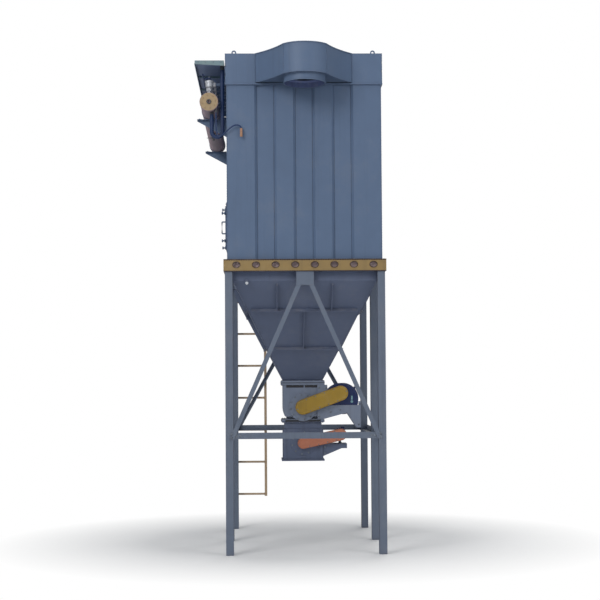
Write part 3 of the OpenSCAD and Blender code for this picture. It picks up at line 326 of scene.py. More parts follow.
tan = weathered("tan_ladder_paint", "ladder_paint", LADDER_TAN, (0.2, 0.25, 0.3, 0.5, 0.5, 0.6))
brown = weathered("brown_tank_primer", "rust_primer",
                  TANK_BROWN, (0.22, 0.3, 0.35, 0.6, 0.4, 0.65), Underside=0.5)
# The rusty lining behind the band's holes is made pale: painted light on the shaded hole backs.
lining = weathered("rust_lining_painted_light", "rust_primer", LINING_PAINTED_LIGHT, (0.35, 0.4, 0.2, 1.0, 0.3, 0.75))
coupling_paint = weathered("rusty_coupling_paint", "rust_primer",
                           COUPLING_RUST, (0.3, 0.3, 0.2, 0.8, 0.6, 0.55))
navy = weathered("navy_enamel", "motor_blue", MOTOR_NAVY, (0.06, 0.1, 0.25, 0.1, 0.25, 0.36))
# The canopy's faces that look down carry painted shade: they blend towards CANOPY_SHADE.
teal = weathered("teal_canopy_paint", "canopy_paint", CANOPY_TEAL, (0.15, 0.25, 0.25, 0.2, 0.35, 0.55),
                 Underside=0.75, Grime=CANOPY_SHADE)
cable_skin = weathered("cable_rubber", "cable_rubber", CABLE_NAVY, (0.05, 0.05, 0.1, 0.0, 0.0, 0.55))
aluminium = cast_finish("cast_aluminium", CAST_PALE, 0.35, 0.35)
bright_zinc = cast_finish("bright_plug_zinc", PLUG_BRIGHT, 0.15, 0.3, 400.0)
glint_teal = cast_finish("sight_glint_teal", SIGHT_GLINT_TEAL, 0.25, 0.2, 300.0)
iron = cast_finish("rotor_iron", CAST_DARK, 0.5, 0.6)
zinc = cast_finish("zinc_bolts", BOLT_ZINC, 0.45, 0.4, 400.0)
zinc_on_navy = cast_finish("drive_bolt_navy", BOLT_NAVY, 0.4, 0.2, 400.0)
gasket_and_shade = cast_finish("dark_gasket_and_painted_shade", GASKET_AND_SHADE_BLACK, 0.85, 0.0, 300.0)

SLOT_FINISH = {
    "steel_paint": steel, "band_paint": ochre, "guard_yellow": yellow, "guard_orange": orange,
    "rust_primer": brown, "motor_blue": navy, "cast_metal": iron, "cast_aluminium": aluminium,
    "canopy_paint": teal, "cable_rubber": cable_skin, "ladder_paint": tan,
}
OTHER_FINISHES = (
    (lining, ("ring_beam_lining",)), (coupling_paint, ("hose_coupling",)),
    (iron, ("line_fittings",)), (cap_tan, ("air_tank_caps",)),
    (valve_steel, ("upper_valve_body", "upper_motor_bracket", "hopper_outlet_flange")),
    (shaded_hopper_steel, ("hopper_end_sheets", "hopper_side_sheets", "hopper_end_ribs", "hopper_side_ribs",
                    "lower_valve_body", "lower_valve_flange", "lower_motor_bracket")),
    (leg_steel, ("front_legs", "middle_legs", "rear_legs", "foot_plates", "end_tie_beams", "side_tie_beams",
                 "front_hanger", "front_braces", "rear_hanger", "rear_braces", "ladder_stays")),
)
NODE_FINISH = {node: finish for finish, nodes in OTHER_FINISHES for node in nodes}
for part in frame["record"]["subparts"]:
    body = frame["nodes"][part["node"]]
    body.data.materials.clear()
    body.data.materials.append(NODE_FINISH.get(part["node"], SLOT_FINISH[part["material_slot"]]))


# Mesh helpers

def new_object(name, data):
    made = bpy.data.objects.new(name, data)
    bpy.context.collection.objects.link(made)
    return made


def new_mesh(name, mesh):
    data = bpy.data.meshes.new(name)
    mesh.to_mesh(data)
    mesh.free()
    return data


def meshes(count):
    return [bmesh.new() for _ in range(count)]


def add_piece(name, mesh, material, smooth_angle=40):
    """Makes one riding piece from a bmesh."""
    bmesh.ops.recalc_face_normals(mesh, faces=mesh.faces)
    data = new_mesh(name, mesh)
    data.materials.append(material)
    data.polygons.foreach_set("use_smooth", [True] * len(data.polygons))
    data.set_sharp_from_angle(angle=radians(smooth_angle))
    piece = new_object(name, data)
    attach(piece, "root")
    return piece


def aim(at, direction):
    """Places +Z at a point and along the given direction."""
    turn = Vector(direction).normalized().to_track_quat("Z", "Y").to_matrix().to_4x4()
    return Matrix.Translation(at) @ turn


def angles(count, start=0.0, sweep=2 * pi):
    return [start + sweep * k / count for k in range(count)]


def spread(low, high, count):
    return [low + (high - low) * i / (count - 1) for i in range(count)]


def row(count, pitch):
    return [(i - (count - 1) / 2) * pitch for i in range(count)]


def circle(mesh, place, r, h, sides, turn=0.0):
    """New points on a circle about the placed Z axis."""
    return [mesh.verts.new(place @ Vector((r * cos(a), r * sin(a), h))) for a in angles(sides, turn)]


def skin(mesh, rings, looped=False):
    """Faces from each ring of points to the next, closed by caps or back to the first ring."""
    for low, high in zip(rings, rings[1:] + rings[:1] if looped else rings[1:]):
        for k in range(len(low)):
            after = (k + 1) % len(low)
            mesh.faces.new((low[k], low[after], high[after], high[k]))
    if not looped:
        mesh.faces.new(rings[0][::-1])
        mesh.faces.new(rings[-1])


def add_lathe(mesh, at, direction, profile, sides=24, turn=0.0):
    """Turns a profile of (radius, height) points about an axis, closed at both ends."""
    place = aim(at, direction)
    skin(mesh, [circle(mesh, place, r, h, sides, turn) for r, h in profile])


def add_ring(mesh, at, direction, inner, outer, height, sides=24):
    """A flat ring that stands on a face and stays open in the middle."""
    place = aim(at, direction)
    profile = ((outer, 0), (outer, height * 0.7), (outer - height * 0.3, height), (inner, height), (inner, 0))
    skin(mesh, [circle(mesh, place, r, h, sides) for r, h in profile], looped=True)


def add_oval_lip(mesh, at, out, loops, sides=32):
    """A lip in an upright wall; a loop is half its width, half its height and how far it stands out."""
    at, out = Vector(at), Vector(out)
    across = UP.cross(out)
    skin(mesh, [[mesh.verts.new(at + across * (w * cos(a)) + UP * (h * sin(a)) + out * proud)
                 for a in angles(sides)] for w, h, proud in loops], looped=True)


def add_bolt(mesh, at, direction, size):
    """A washer and a hexagon head; size is half the width across corners."""
    add_lathe(mesh, at, direction,
              [(size * 1.45, 0), (size * 1.45, size * 0.18), (size * 1.3, size * 0.26)], 16)
    top = Vector(at) + Vector(direction).normalized() * size * 0.26
    add_lathe(mesh, top, direction, [(size, 0), (size, size * 0.62), (size * 0.86, size * 0.75)], 6,
              random.uniform(0, 1))


def add_box(mesh, corner, opposite, bevel, place=None):
    """A box with rounded edges between two opposite corners."""
    low = Vector([min(a, b) for a, b in zip(corner, opposite)])
    high = Vector([max(a, b) for a, b in zip(corner, opposite)])
    made = bmesh.ops.create_cube(mesh, size=1.0)
    grow = Matrix.Translation((low + high) / 2) @ Matrix.Diagonal((*(high - low), 1.0))
    grow = grow if place is None else place @ grow
    bmesh.ops.transform(mesh, matrix=grow, verts=made["verts"])
    edges = {e for v in made["verts"] for e in v.link_edges}
    bmesh.ops.bevel(mesh, geom=list(edges), offset=bevel, segments=2, profile=0.6, affect="EDGES")


def add_tube(mesh, path, radius, sides=8, ripple=0.0, pitch=0.008):
    """A round bead or pipe along straight runs of points; ripple gives the scales of a weld."""
    points = []
    path = [Vector(p) for p in path]
    for a, b in zip(path, path[1:]):
        steps = max(1, int((b - a).length / pitch)) if ripple else 1
        points += [a.lerp(b, i / steps) for i in range(steps)]
    points.append(path[-1])
    rings = []
    for i, p in enumerate(points):
        d = points[min(i + 1, len(points) - 1)] - points[max(i - 1, 0)]
        r = radius * (1 + (ripple if i % 2 else -ripple) * random.uniform(0.5, 1.0))
        rings.append(circle(mesh, aim(p, d), r, 0, sides))
    skin(mesh, rings)


def add_bead(mesh, path, radius, pitch=0.008, ripple=0.2):
    add_tube(mesh, path, radius, 6, ripple, pitch)


def ring_points(centre, axis, radius, count, start=0.0, sweep=2 * pi):
    place = aim(centre, axis)
    return [place @ Vector((radius * cos(a), radius * sin(a), 0)) for a in angles(count, start, sweep)]


def add_weld_ring(mesh, at, direction, radius, bead, sides):
    """A ripple of weld round a pipe."""
    points = ring_points(at, direction, radius, sides)
    add_bead(mesh, points + points[:1], bead, 0.010, 0.18)


def add_hoop(mesh, at, direction, radius, thick, sides):
    """A smooth round bar bent to a closed hoop."""
    points = ring_points(at, direction, radius, sides + 1, 0, 2 * pi * (sides + 1) / sides)
    add_tube(mesh, points, thick, 8)


def upright(x, y, low, high):
    return [(x, y, low), (x, y, high)]


def level(x0, x1, y, z):
    return [(x0, y, z), (x1, y, z)]


def rectangle(x, y, half_x, half_y, z=0.0):
    turns = ((-1, -1), (1, -1), (1, 1), (-1, 1), (-1, -1))
    return [(x + sx * half_x, y + sy * half_y, z) for sx, sy in turns]


def four_sides(t, half):
    return (t, -half), (t, half), (-half, t), (half, t)


# Sizes of the filter that the added pieces sit on, in metres

WALL_X, WALL_Y = 0.775, 1.280
FOLD_PITCH, FOLD_DEEP, CREASE_IN = 0.194, 0.024, 0.0125
BAND_X, BAND_Y, BAND_LOW, BAND_TOP = 0.815, 1.320, 2.830, 2.945
HOLE_PITCH, HOLE_Z, FLANGE_IN = 0.196, 2.8935, 0.018
END_HOLES, SIDE_HOLES = row(8, HOLE_PITCH), row(12, HOLE_PITCH)
HOUSING_TOP = 4.710
HEAD_X, HEAD_Y, HEAD_LOW, ROOF_TOP = 0.787, 1.292, 4.724, 5.025
LUG_X, LUG_Y = 0.702, 1.207
HOOD_HALF, NOSE_HALF, WING_OUT, HOOD_FLOOR = 0.485, 0.210, 0.400, 4.732
SPIGOT_Y, SPIGOT_LOW = -1.552, 4.664
LEG_X, LEG_Y, MIDDLE_LEG_OUT = 0.764, 1.255, 0.024
LEG_WEB, LEG_TIP, LEG_DEEP = 0.0035, 0.035, 0.041
TIE_LOW, TIE_MID, TIE_SIDE_X, TIE_END_Y = 1.155, 1.185, 0.7955, 1.302
TIE_END_BOLTS, TIE_SIDE_BOLTS, FRAME_BOLT = (0.690, 0.655), (0.085, 1.170), 0.009
BRACE_FOOT_X, BRACE_FOOT_Y, BRACE_FOOT_BOLTS = 0.742, 1.310, (1.168, 1.203)
BRACE_TOP, BRACE_TOP_Y, BRACE_HALF = {-1: (0.0655, 2.690), 1: (0.0325, 2.430)}, 1.308, 0.024
HANGER_HALF, HANGER_Y = {-1: 0.088, 1: 0.055}, 1.311
HOPPER_X, HOPPER_Y, SKIRT_LOW, PLUG_X = 0.722, 1.227, 2.740, 0.584
OUTLET_HALF, OUTLET_TOP, OUTLET_LOW, OUTLET_BOLTS = 0.205, 1.735, 1.713, 0.2235
FLANGE_UNDER, FLANGE_REACH, FLANGE_BOLT = 1.691, 0.190, 0.0068
VALVE_FACE, SHAFT_Z, VALVE_LOW, VALVE_BOLT, VALVE_BOLT_R = 0.239, 1.451, 1.305, 0.0075, 0.134
JOINT_BOLTS, JOINT_THICK, GASKET_THIN = 0.214, 0.016, 0.003
NECK_Y, NECK_LOW, NECK_TOP = 0.226, 1.662, 1.688
LOWER_FACE, LOWER_SHAFT_Z, LOWER_STRIP = 0.212, 1.065, (0.889, 1.217)
LOWER_BOLT, LOWER_BOLT_R, LOWER_PLATE = 0.0065, 0.118, 0.006
STRIP_WIDE, STRIP_THIN, BOLT_CLEAR = 0.030, 0.005, 0.014
GUARD_SPAN, GUARD_RISE, GUARD_R = 0.406, 0.148, 0.078
LOW_SPAN, LOW_RISE, LOW_R = 0.406, 0.088, 0.060
GEAR = Vector((0.430, -0.225, 1.541))
COVER, COVER_R, COVER_LOW = Vector((0.406, -0.2385, 1.519)), 0.190, 1.4705
SIGHT_X, SIGHT_Z, BLANK_LOW, BLANK_TOP, BLANK_HALF = 0.527, 1.508, 1.528, 1.570, 0.008
GEAR_R, GEAR_FLANGE_R, GEAR_LEN, MOTOR_R, MOTOR_LEN = 0.148, 0.168, 0.190, 0.105, 0.250
UPPER_BRACKET_BOLTS = ((0.300, 1.395), (0.400, 1.420), (0.176, 1.350), (0.176, 1.660),
                       (0.250, 1.660), (0.600, 1.262), (0.610, 1.480))
SMALL_MOTOR, SMALL_R, SMALL_LEN = Vector((0.406, -0.212, 1.153)), 0.058, 0.330
SMALL_FOOT_Z, LOWER_BRACKET_X, LOWER_BRACKET_Y = 1.056, 0.235, -0.222
LOWER_BRACKET_BOLTS = (0.955, 1.020)
TANK_X, TANK_Z, TANK_R, TANK_END = -0.955, 4.545, 0.090, 1.250
BRACKET_PLACES, BRACKET_TOP = (-0.776, 1.1735), 4.455
VALVE_PLACES, RISER_NUT_Z, BLOW_Z, LID_Z = row(12, FOLD_PITCH), 4.690, 4.756, 4.793
COIL_Z, WIRE_PIPE_Z, WIRE_PIPE_OUT = 4.820, 4.850, 0.064
CANOPY_X, CANOPY_TOP, CANOPY_BACK = -1.095, 4.955, -0.803
DOOR_Y, DOOR_Z, DOOR_FACE, DOOR_PAD = -0.900, 3.295, -0.799, -0.787
LADDER_X, LADDER_Y, RUNG_LOW, RUNG_PITCH, RUNGS = -0.588, 1.350, 0.398, 0.381, 13
RUNG_HALF, STAY_BOLT_X, STAY_PLACES = 0.169, 0.184, (2.8875, 4.8715)
INLET = Vector((0.250, 1.280, 3.345))
CORNERS = [(sx, sy) for sx in (-1, 1) for sy in (-1, 1)]

# Profiles that are used more than once
SCREW_HEAD = [(0.0062, 0), (0.0062, 0.0018), (0.0045, 0.0035), (0.0015, 0.0042)]
RIVET_DOME = [(0.006, 0), (0.0055, 0.002), (0.003, 0.0038), (0.001, 0.0042)]
RIM_LOOPS = ((0.0405, 0.0335, 0.0030), (0.0320, 0.0250, 0.0010),
             (0.0320, 0.0250, -0.0050), (0.0405, 0.0335, -0.0050))
COLLAR_LOOPS = ((0.0430, 0.0430, 0.0), (0.0420, 0.0420, 0.0022),
                (0.0400, 0.0330, 0.0022), (0.0400, 0.0330, -0.0050))


# Hopper, hood, housing and head box

def dress_hopper():
    beads, bosses, plugs = meshes(3)
    foot = OUTLET_HALF + 0.002
    for sx, sy in CORNERS:
        x, y = sx * HOPPER_X, sy * HOPPER_Y
        slant = (sx * foot, sy * foot, OUTLET_TOP + 0.004)
        add_bead(beads, upright(x, y, BAND_LOW - 0.002, SKIRT_LOW) + [slant], 0.0055, 0.012)
    half = OUTLET_HALF + 0.004
    add_bead(beads, rectangle(0, 0, half, half, OUTLET_TOP + 0.002), 0.005, 0.010)
    add_piece("hopper_weld_beads", beads, shaded_hopper_steel)

    slope = Vector((0, -1.005, -1.022)).normalized()
    for sy in (-1, 1):
        at = Vector((sy * PLUG_X, sy * (HOPPER_Y - 0.005), SKIRT_LOW - 0.005))
        out = Vector((0, slope.y * -sy, slope.z))
        add_lathe(bosses, at, out,
                  [(0.030, -0.004), (0.026, 0.004), (0.021, 0.006), (0.021, 0.022), (0.019, 0.024)])
        add_lathe(plugs, at + out * 0.024, out, [(0.016, 0), (0.016, 0.004), (0.013, 0.006)], 20)
        add_lathe(plugs, at + out * 0.030, out, [(0.011, 0), (0.011, 0.009), (0.0095, 0.011)], 6)
    add_piece("hopper_plug_bosses", bosses, shaded_hopper_steel)
    add_piece("hopper_plugs", plugs, bright_zinc)


def hood_edge(inset):
    """The hood's outline from wall to wall: wings that curve inward and a nose that curves outward."""
    wing, wing_r = Vector((1.3488, -0.8884)), 1.2391 + inset
    nose_r, nose_back = 0.2705, 0.2295
    start = atan2(-wing.y, HOOD_HALF - wing.x)
    end = atan2(-WING_OUT - wing.y, NOSE_HALF - wing.x)
    right = [(wing.x + wing_r * cos(a), -HEAD_Y + wing.y + wing_r * sin(a)) for a in spread(start, end, 14)]
    half = asin(NOSE_HALF / nose_r)
    nose = [((nose_r - inset) * sin(a), -HEAD_Y - nose_back - (nose_r - inset) * cos(a))
            for a in spread(half, -half, 22)]
    return right + nose[1:-1] + [(-x, y) for x, y in reversed(right)]


def dress_hood():
    beads, lips, shade_ring = meshes(3)
    for sx in (-1, 1):
        for x, out, low in ((NOSE_HALF, WING_OUT, 0.007), (HOOD_HALF + 0.002, 0.002, 0.001)):
            path = upright(sx * x, -HEAD_Y - out, HOOD_FLOOR + low, ROOF_TOP - 0.004)
            add_bead(beads, path, 0.0045, 0.012, 0.15)
    add_weld_ring(beads, (0, SPIGOT_Y, HOOD_FLOOR - 0.001), UP, 0.208, 0.005, 64)
    add_piece("hood_weld_beads", beads, steel)
    for z, thick in ((ROOF_TOP - 0.003, 0.0055), (HOOD_FLOOR + 0.0015, 0.0045)):
        add_tube(lips, [(x, y, z) for x, y in hood_edge(-0.002)], thick)
    add_piece("hood_edge_lips", lips, steel)
    # A dark sleeve inside the spigot: painted shade in the opening.
    add_ring(shade_ring, (0, SPIGOT_Y, SPIGOT_LOW), UP, 0.1970, 0.1994, 0.066, 64)
    add_piece("spigot_painted_shade_lining", shade_ring, opening_shade)


def crease_places(count):
    """Inner corners of the folds along one wall."""
    return [p + (-CREASE_IN if i % 2 else CREASE_IN) for i, p in enumerate(row(count, FOLD_PITCH))]


def dress_housing():
    beads, creases, seams = meshes(3)
    for sx, sy in CORNERS:
        for x, y, low, high in ((WALL_X, WALL_Y, BAND_TOP + 0.002, HOUSING_TOP - 0.002),
                                (HEAD_X, HEAD_Y, HEAD_LOW + 0.002, ROOF_TOP - 0.008)):
            add_bead(beads, upright(sx * x, sy * y, low, high), 0.004, 0.014, 0.15)
        add_bead(beads, rectangle(sx * LUG_X, sy * LUG_Y, 0.032, 0.008, ROOF_TOP + 0.002), 0.005)
    add_piece("housing_weld_beads", beads, steel)

    # Dark tubes in the inner corners of the folds: painted shade in the creases.
    low, high = BAND_TOP + 0.004, HOUSING_TOP - 0.004
    for x in crease_places(6):
        for sy in (-1, 1):
            add_tube(creases, upright(x, sy * (WALL_Y - FOLD_DEEP), low, high), 0.0026, 6)
    for y in crease_places(12):
        for sx in (-1, 1):
            add_tube(creases, upright(sx * (WALL_X - FOLD_DEEP), y, low, high), 0.0026, 6)
    add_piece("wall_crease_painted_shade", creases, crease_shade)

    for y in (-0.64, 0.0, 0.64):
        add_box(seams, (-HEAD_X, y - 0.016, ROOF_TOP - 0.001), (HEAD_X, y + 0.016, ROOF_TOP + 0.012), 0.004)
    add_box(seams, (-0.016, -HEAD_Y, ROOF_TOP - 0.001), (0.016, HEAD_Y, ROOF_TOP + 0.008), 0.003)
    add_piece("roof_seam_strips", seams, steel)


def shade_inside_faces(material, half_x, half_y, shade_colour):
    """Paints the faces inside the ring, which look into the frame, in a darker colour: painted shade."""
    n = Net(material.node_tree)
    base = material.node_tree.nodes["Principled BSDF"].inputs["Base Color"]
    painted = base.links[0].from_socket
    place = n.split(n.node("ShaderNodeNewGeometry").outputs["Position"])
    inside = n.times(n.math("LESS_THAN", n.math("ABSOLUTE", place["X"]), half_x),
                     n.math("LESS_THAN", n.math("ABSOLUTE", place["Y"]), half_y))
    n.put(base, n.blend(inside, painted, shade_colour))


def dress_ring_beam():
    shade_inside_faces(ochre, BAND_X - 0.006, BAND_Y - 0.006, SHADE_BLUE)
    bolts, rims, collars = meshes(3)
    for sy in (-1, 1):
        for x in END_HOLES:
            add_bolt(bolts, (x, sy * (BAND_Y - FLANGE_IN), BAND_TOP), UP, FRAME_BOLT)
    for sx in (-1, 1):
        for y in SIDE_HOLES:
            add_bolt(bolts, (sx * (BAND_X - FLANGE_IN), y, BAND_TOP), UP, FRAME_BOLT)
    add_piece("ring_beam_bolts", bolts, zinc)

    holes = [((x, sy * BAND_Y, HOLE_Z), (0, sy, 0)) for sy in (-1, 1) for x in END_HOLES]
    holes += [((sx * BAND_X, y, HOLE_Z), (sx, 0, 0)) for sx in (-1, 1) for y in SIDE_HOLES]
    # The hole rims, and the beads along the band's top and bottom edges below, are dark rusty ochre: rust,
    # with painted shade in the holes and in the gaps at the band's edges.
    for at, out in holes:
        add_oval_lip(rims, at, out, RIM_LOOPS)
        add_oval_lip(collars, at, out, COLLAR_LOOPS)
    add_piece("ring_beam_hole_collars", collars, ochre)
    for sy in (-1, 1):
        for y, z, thick in ((BAND_Y - 0.004, BAND_TOP - 0.001, 0.0075), (BAND_Y, BAND_LOW + 0.001, 0.0042)):
            add_bead(rims, level(-BAND_X, BAND_X, sy * y, z), thick, 0.012)
    add_piece("ring_beam_hole_rims_painted_shade", rims, ochre_shade)


# Legs, tie beams and braces

def dress_frame():
    plates, bolts, beads = meshes(3)
    for sx in (-1, 1):
        for y in (-LEG_Y, 0, LEG_Y):
            x = sx * (LEG_X if y else LEG_X + MIDDLE_LEG_OUT)
            for side in (-1, 1):
                for z in (TIE_LOW - 0.010, BAND_LOW - 0.030):
                    add_box(plates, (x + side * LEG_WEB, y - LEG_DEEP, z),
                            (x + side * LEG_TIP, y + LEG_DEEP, z + 0.008), 0.0015)
                add_bead(beads, level(x - 0.038, x + 0.038, y + side * 0.050, 0.011), 0.004)
        for sy in (-1, 1):
            for x in TIE_END_BOLTS:
                add_bolt(bolts, (sx * x, sy * TIE_END_Y, TIE_MID), (0, sy, 0), FRAME_BOLT)
            for z in BRACE_FOOT_BOLTS:
                add_bolt(bolts, (sx * BRACE_FOOT_X, sy * BRACE_FOOT_Y, z), (0, sy, 0), FRAME_BOLT)
            x, z = BRACE_TOP[sy]
            path = level(sx * (x - BRACE_HALF), sx * (x + BRACE_HALF), sy * BRACE_TOP_Y, z)
            add_bead(beads, path, 0.0045)
            for y in TIE_SIDE_BOLTS:
                add_bolt(bolts, (sx * TIE_SIDE_X, sy * y, TIE_MID), (sx, 0, 0), FRAME_BOLT)
    for sy, half in HANGER_HALF.items():
        add_bead(beads, level(-half, half, sy * HANGER_Y, BAND_LOW - 0.002), 0.0045)
    add_piece("leg_stiffeners", plates, leg_steel)
    add_piece("frame_bolts", bolts, zinc)
    add_piece("frame_weld_beads", beads, leg_steel)


# Rotary valves and their drives

def near_line(x, z, span, rise):
    """Distance of a point from the middle line of a chain guard that starts at the shaft."""
    length = hypot(span, rise)
    t = max(0.0, min(1.0, (x * span + z * rise) / length ** 2))
    return hypot(x - t * span, z - t * rise)


def dress_valves():
    bolts, bosses, frames, dark_strips = meshes(4)
    for half, top, low in ((OUTLET_BOLTS, OUTLET_TOP, FLANGE_UNDER),
                           (JOINT_BOLTS, VALVE_LOW + JOINT_THICK, VALVE_LOW - JOINT_THICK)):
        for t in spread(-FLANGE_REACH, FLANGE_REACH, 6):
            for x, y in four_sides(t, half):
                add_bolt(bolts, (x, y, top), UP, FLANGE_BOLT)
                add_bolt(bolts, (x, y, low), -UP, FLANGE_BOLT)
    for sy in (-1, 1):
        out = (0, sy, 0)
        for p in ring_points((0, sy * VALVE_FACE, SHAFT_Z), out, VALVE_BOLT_R, 12, 0.13):
            if sy > 0 or near_line(p.x, p.z - SHAFT_Z, GUARD_SPAN, GUARD_RISE) > GUARD_R + BOLT_CLEAR:
                add_bolt(bolts, p, out, VALVE_BOLT)
        lower = (0, sy * LOWER_FACE, LOWER_SHAFT_Z)
        for p in ring_points(lower, out, LOWER_BOLT_R, 10, 0.2):
            if sy > 0 or near_line(p.x, p.z - LOWER_SHAFT_Z, LOW_SPAN, LOW_RISE) > LOW_R + BOLT_CLEAR:
                add_bolt(bolts, p + Vector((0, sy * LOWER_PLATE, 0)), out, LOWER_BOLT)
        add_lathe(frames, lower, out, [(0.134, 0), (0.134, 0.005), (0.132, LOWER_PLATE)], 48)
    add_lathe(bosses, (0, VALVE_FACE, SHAFT_Z), REAR,
              [(0.078, 0), (0.078, 0.016), (0.070, 0.022), (0.046, 0.024),
               (0.046, 0.046), (0.040, 0.050), (0.020, 0.051)], 36)
    add_lathe(bosses, (0, LOWER_FACE + LOWER_PLATE, LOWER_SHAFT_Z), REAR,
              [(0.062, 0), (0.062, 0.014), (0.055, 0.019), (0.038, 0.021),
               (0.038, 0.040), (0.033, 0.044), (0.018, 0.045)], 36)
    low, high = LOWER_STRIP
    for sx, sy in CORNERS:
        x, y = sx * LOWER_FACE, sy * LOWER_FACE
        add_box(frames, (x, y, low), (x - sx * STRIP_WIDE, y + sy * STRIP_THIN, high), 0.001)
        add_box(frames, (x, y, low), (x + sx * STRIP_THIN, y - sy * STRIP_WIDE, high), 0.001)
    # Dark strips: the thin one at the outlet flange is a gasket. The tall ones at the valve joint are painted
    # shade under the round valve body, and those at the neck are painted shade under the upper flange.
    for z, half, tall, reach in ((OUTLET_LOW, 0.235, 0.003, 0.235), (VALVE_LOW, 0.230, 0.010, FLANGE_REACH)):
        for t in (-1, 1):
            near, far = t * half - GASKET_THIN, t * half + GASKET_THIN
            add_box(dark_strips, (-reach, near, z - tall), (reach, far, z + tall), 0.001)
            add_box(dark_strips, (near, -reach, z - tall), (far, reach, z + tall), 0.001)
    for t in (-1, 1):
        near, far = t * NECK_Y - GASKET_THIN, t * NECK_Y + GASKET_THIN
        for x0, x1 in ((-0.178, 0.008), (0.022, 0.205)):
            add_box(dark_strips, (x0, near, NECK_LOW), (x1, far, NECK_TOP), 0.001)
    add_piece("valve_gasket_and_painted_shade_strips", dark_strips, gasket_and_shade)
    add_piece("valve_bolts", bolts, zinc)
    add_piece("valve_bearing_bosses", bosses, steel)
    add_piece("lower_valve_corner_strips", frames, shaded_hopper_steel)


def guard_loop(span, rise, r, steps=24):
    """The outline of a chain guard: half a circle about each of its two shafts."""
    lean = atan2(rise, span)
    loop = []
    for x, z, start in ((0, 0, lean + pi / 2), (span, rise, lean - pi / 2)):
        turns = [start + pi * i / steps for i in range(steps + 1)]
        loop += [(x + r * cos(t), z + r * sin(t)) for t in turns]
    return loop


def dress_guard(name, node, face, z, span, rise, r, material):
    """A pressed sheet guard with a foot lip, rounded front edges and a shallow dished lid."""
    body, screws = meshes(2)
    profile = [(-0.004, 0.0), (-0.004, 0.005), (0.0, 0.006), (0.0, 0.052), (0.0012, 0.0575), (0.0040, 0.062),
               (0.0085, 0.0650), (0.0140, 0.0660), (0.0190, 0.0655), (0.0225, 0.0635), (0.0270, 0.0628)]
    skin(body, [[body.verts.new((x, -face - deep, z + h)) for x, h in guard_loop(span, rise, r - inset)]
                for inset, deep in profile])
    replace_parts(add_piece(name, body, material, 30), node)
    lean, length = atan2(rise, span), hypot(span, rise)
    along = Vector((cos(lean), 0, sin(lean)))
    across = Vector((-sin(lean), 0, cos(lean)))
    start, edge = Vector((0, -face - 0.0655, z)), r - 0.014
    places = [start + along * t + across * side * edge
              for side in (-1, 1) for t in spread(0.06, length - 0.06, 4)]
    places += [start - along * edge, start + along * length + along * edge]
    for at in places:
        add_lathe(screws, at, FRONT, SCREW_HEAD, 12)
    add_piece(name + "_screws", screws, zinc)


def add_fins(mesh, centre, inner, outer, y0, y1, count, gap):
    """Cooling fins that run along a motor, with a gap between two angles."""
    for k in range(count):
        a = 2 * pi * (k + 0.5) / count
        if not gap[0] < a < gap[1]:
            place = Matrix.Translation((centre.x, 0, centre.z)) @ Matrix.Rotation(-a, 4, "Y")
            add_box(mesh, (inner - 0.002, y0, -0.0016), (outer, y1, 0.0016), 0.0007, place)


def dress_gear_cover():
    """The round front cover of the gear case, cut off above the bracket's cheek."""
    cover, bolts, plate = meshes(3)
    dip = asin((COVER.z - COVER_LOW) / COVER_R)
    rings = []
    for inset, back in ((0.0, 0.0130), (0.0, 0.0030), (0.0012, 0.0008), (0.0040, 0.0),
                        (0.0200, 0.0), (0.0225, 0.0022), (0.0260, 0.0026)):
        r, y = COVER_R - inset, COVER.y + back
        edge = [(COVER.x + r * cos(a), COVER.z + r * sin(a)) for a in spread(-dip, pi + dip, 49)]
        rings.append([cover.verts.new((x, y, max(z, COVER_LOW))) for x, z in edge])
    skin(cover, rings)
    add_piece("upper_gear_cover", cover, navy, 30)
    for p in ring_points(COVER, FRONT, COVER_R - 0.012, 20, 0.1):
        clear = near_line(p.x, p.z - SHAFT_Z, GUARD_SPAN, GUARD_RISE) > GUARD_R + 0.012
        if clear and p.z > COVER_LOW + 0.02 and p.x > 0.30:
            add_bolt(bolts, p, FRONT, 0.0055)
    add_piece("upper_gear_cover_bolts", bolts, zinc_on_navy)
    # The oil sight and blank plate are pale teal: a painted glint on the gear cover.
    sight = (SIGHT_X, COVER.y + 0.0026, SIGHT_Z)
    add_ring(plate, sight, FRONT, 0.008, 0.014, 0.006, 24)
    add_lathe(plate, sight, FRONT, [(0.008, 0), (0.008, 0.003), (0.003, 0.0045)], 24)
    add_box(plate, (SIGHT_X - BLANK_HALF, COVER.y - 0.001, BLANK_LOW),
            (SIGHT_X + BLANK_HALF, COVER.y + 0.004, BLANK_TOP), 0.0008)
    add_piece("gear_oil_sight_and_blank_plate", plate, glint_teal)


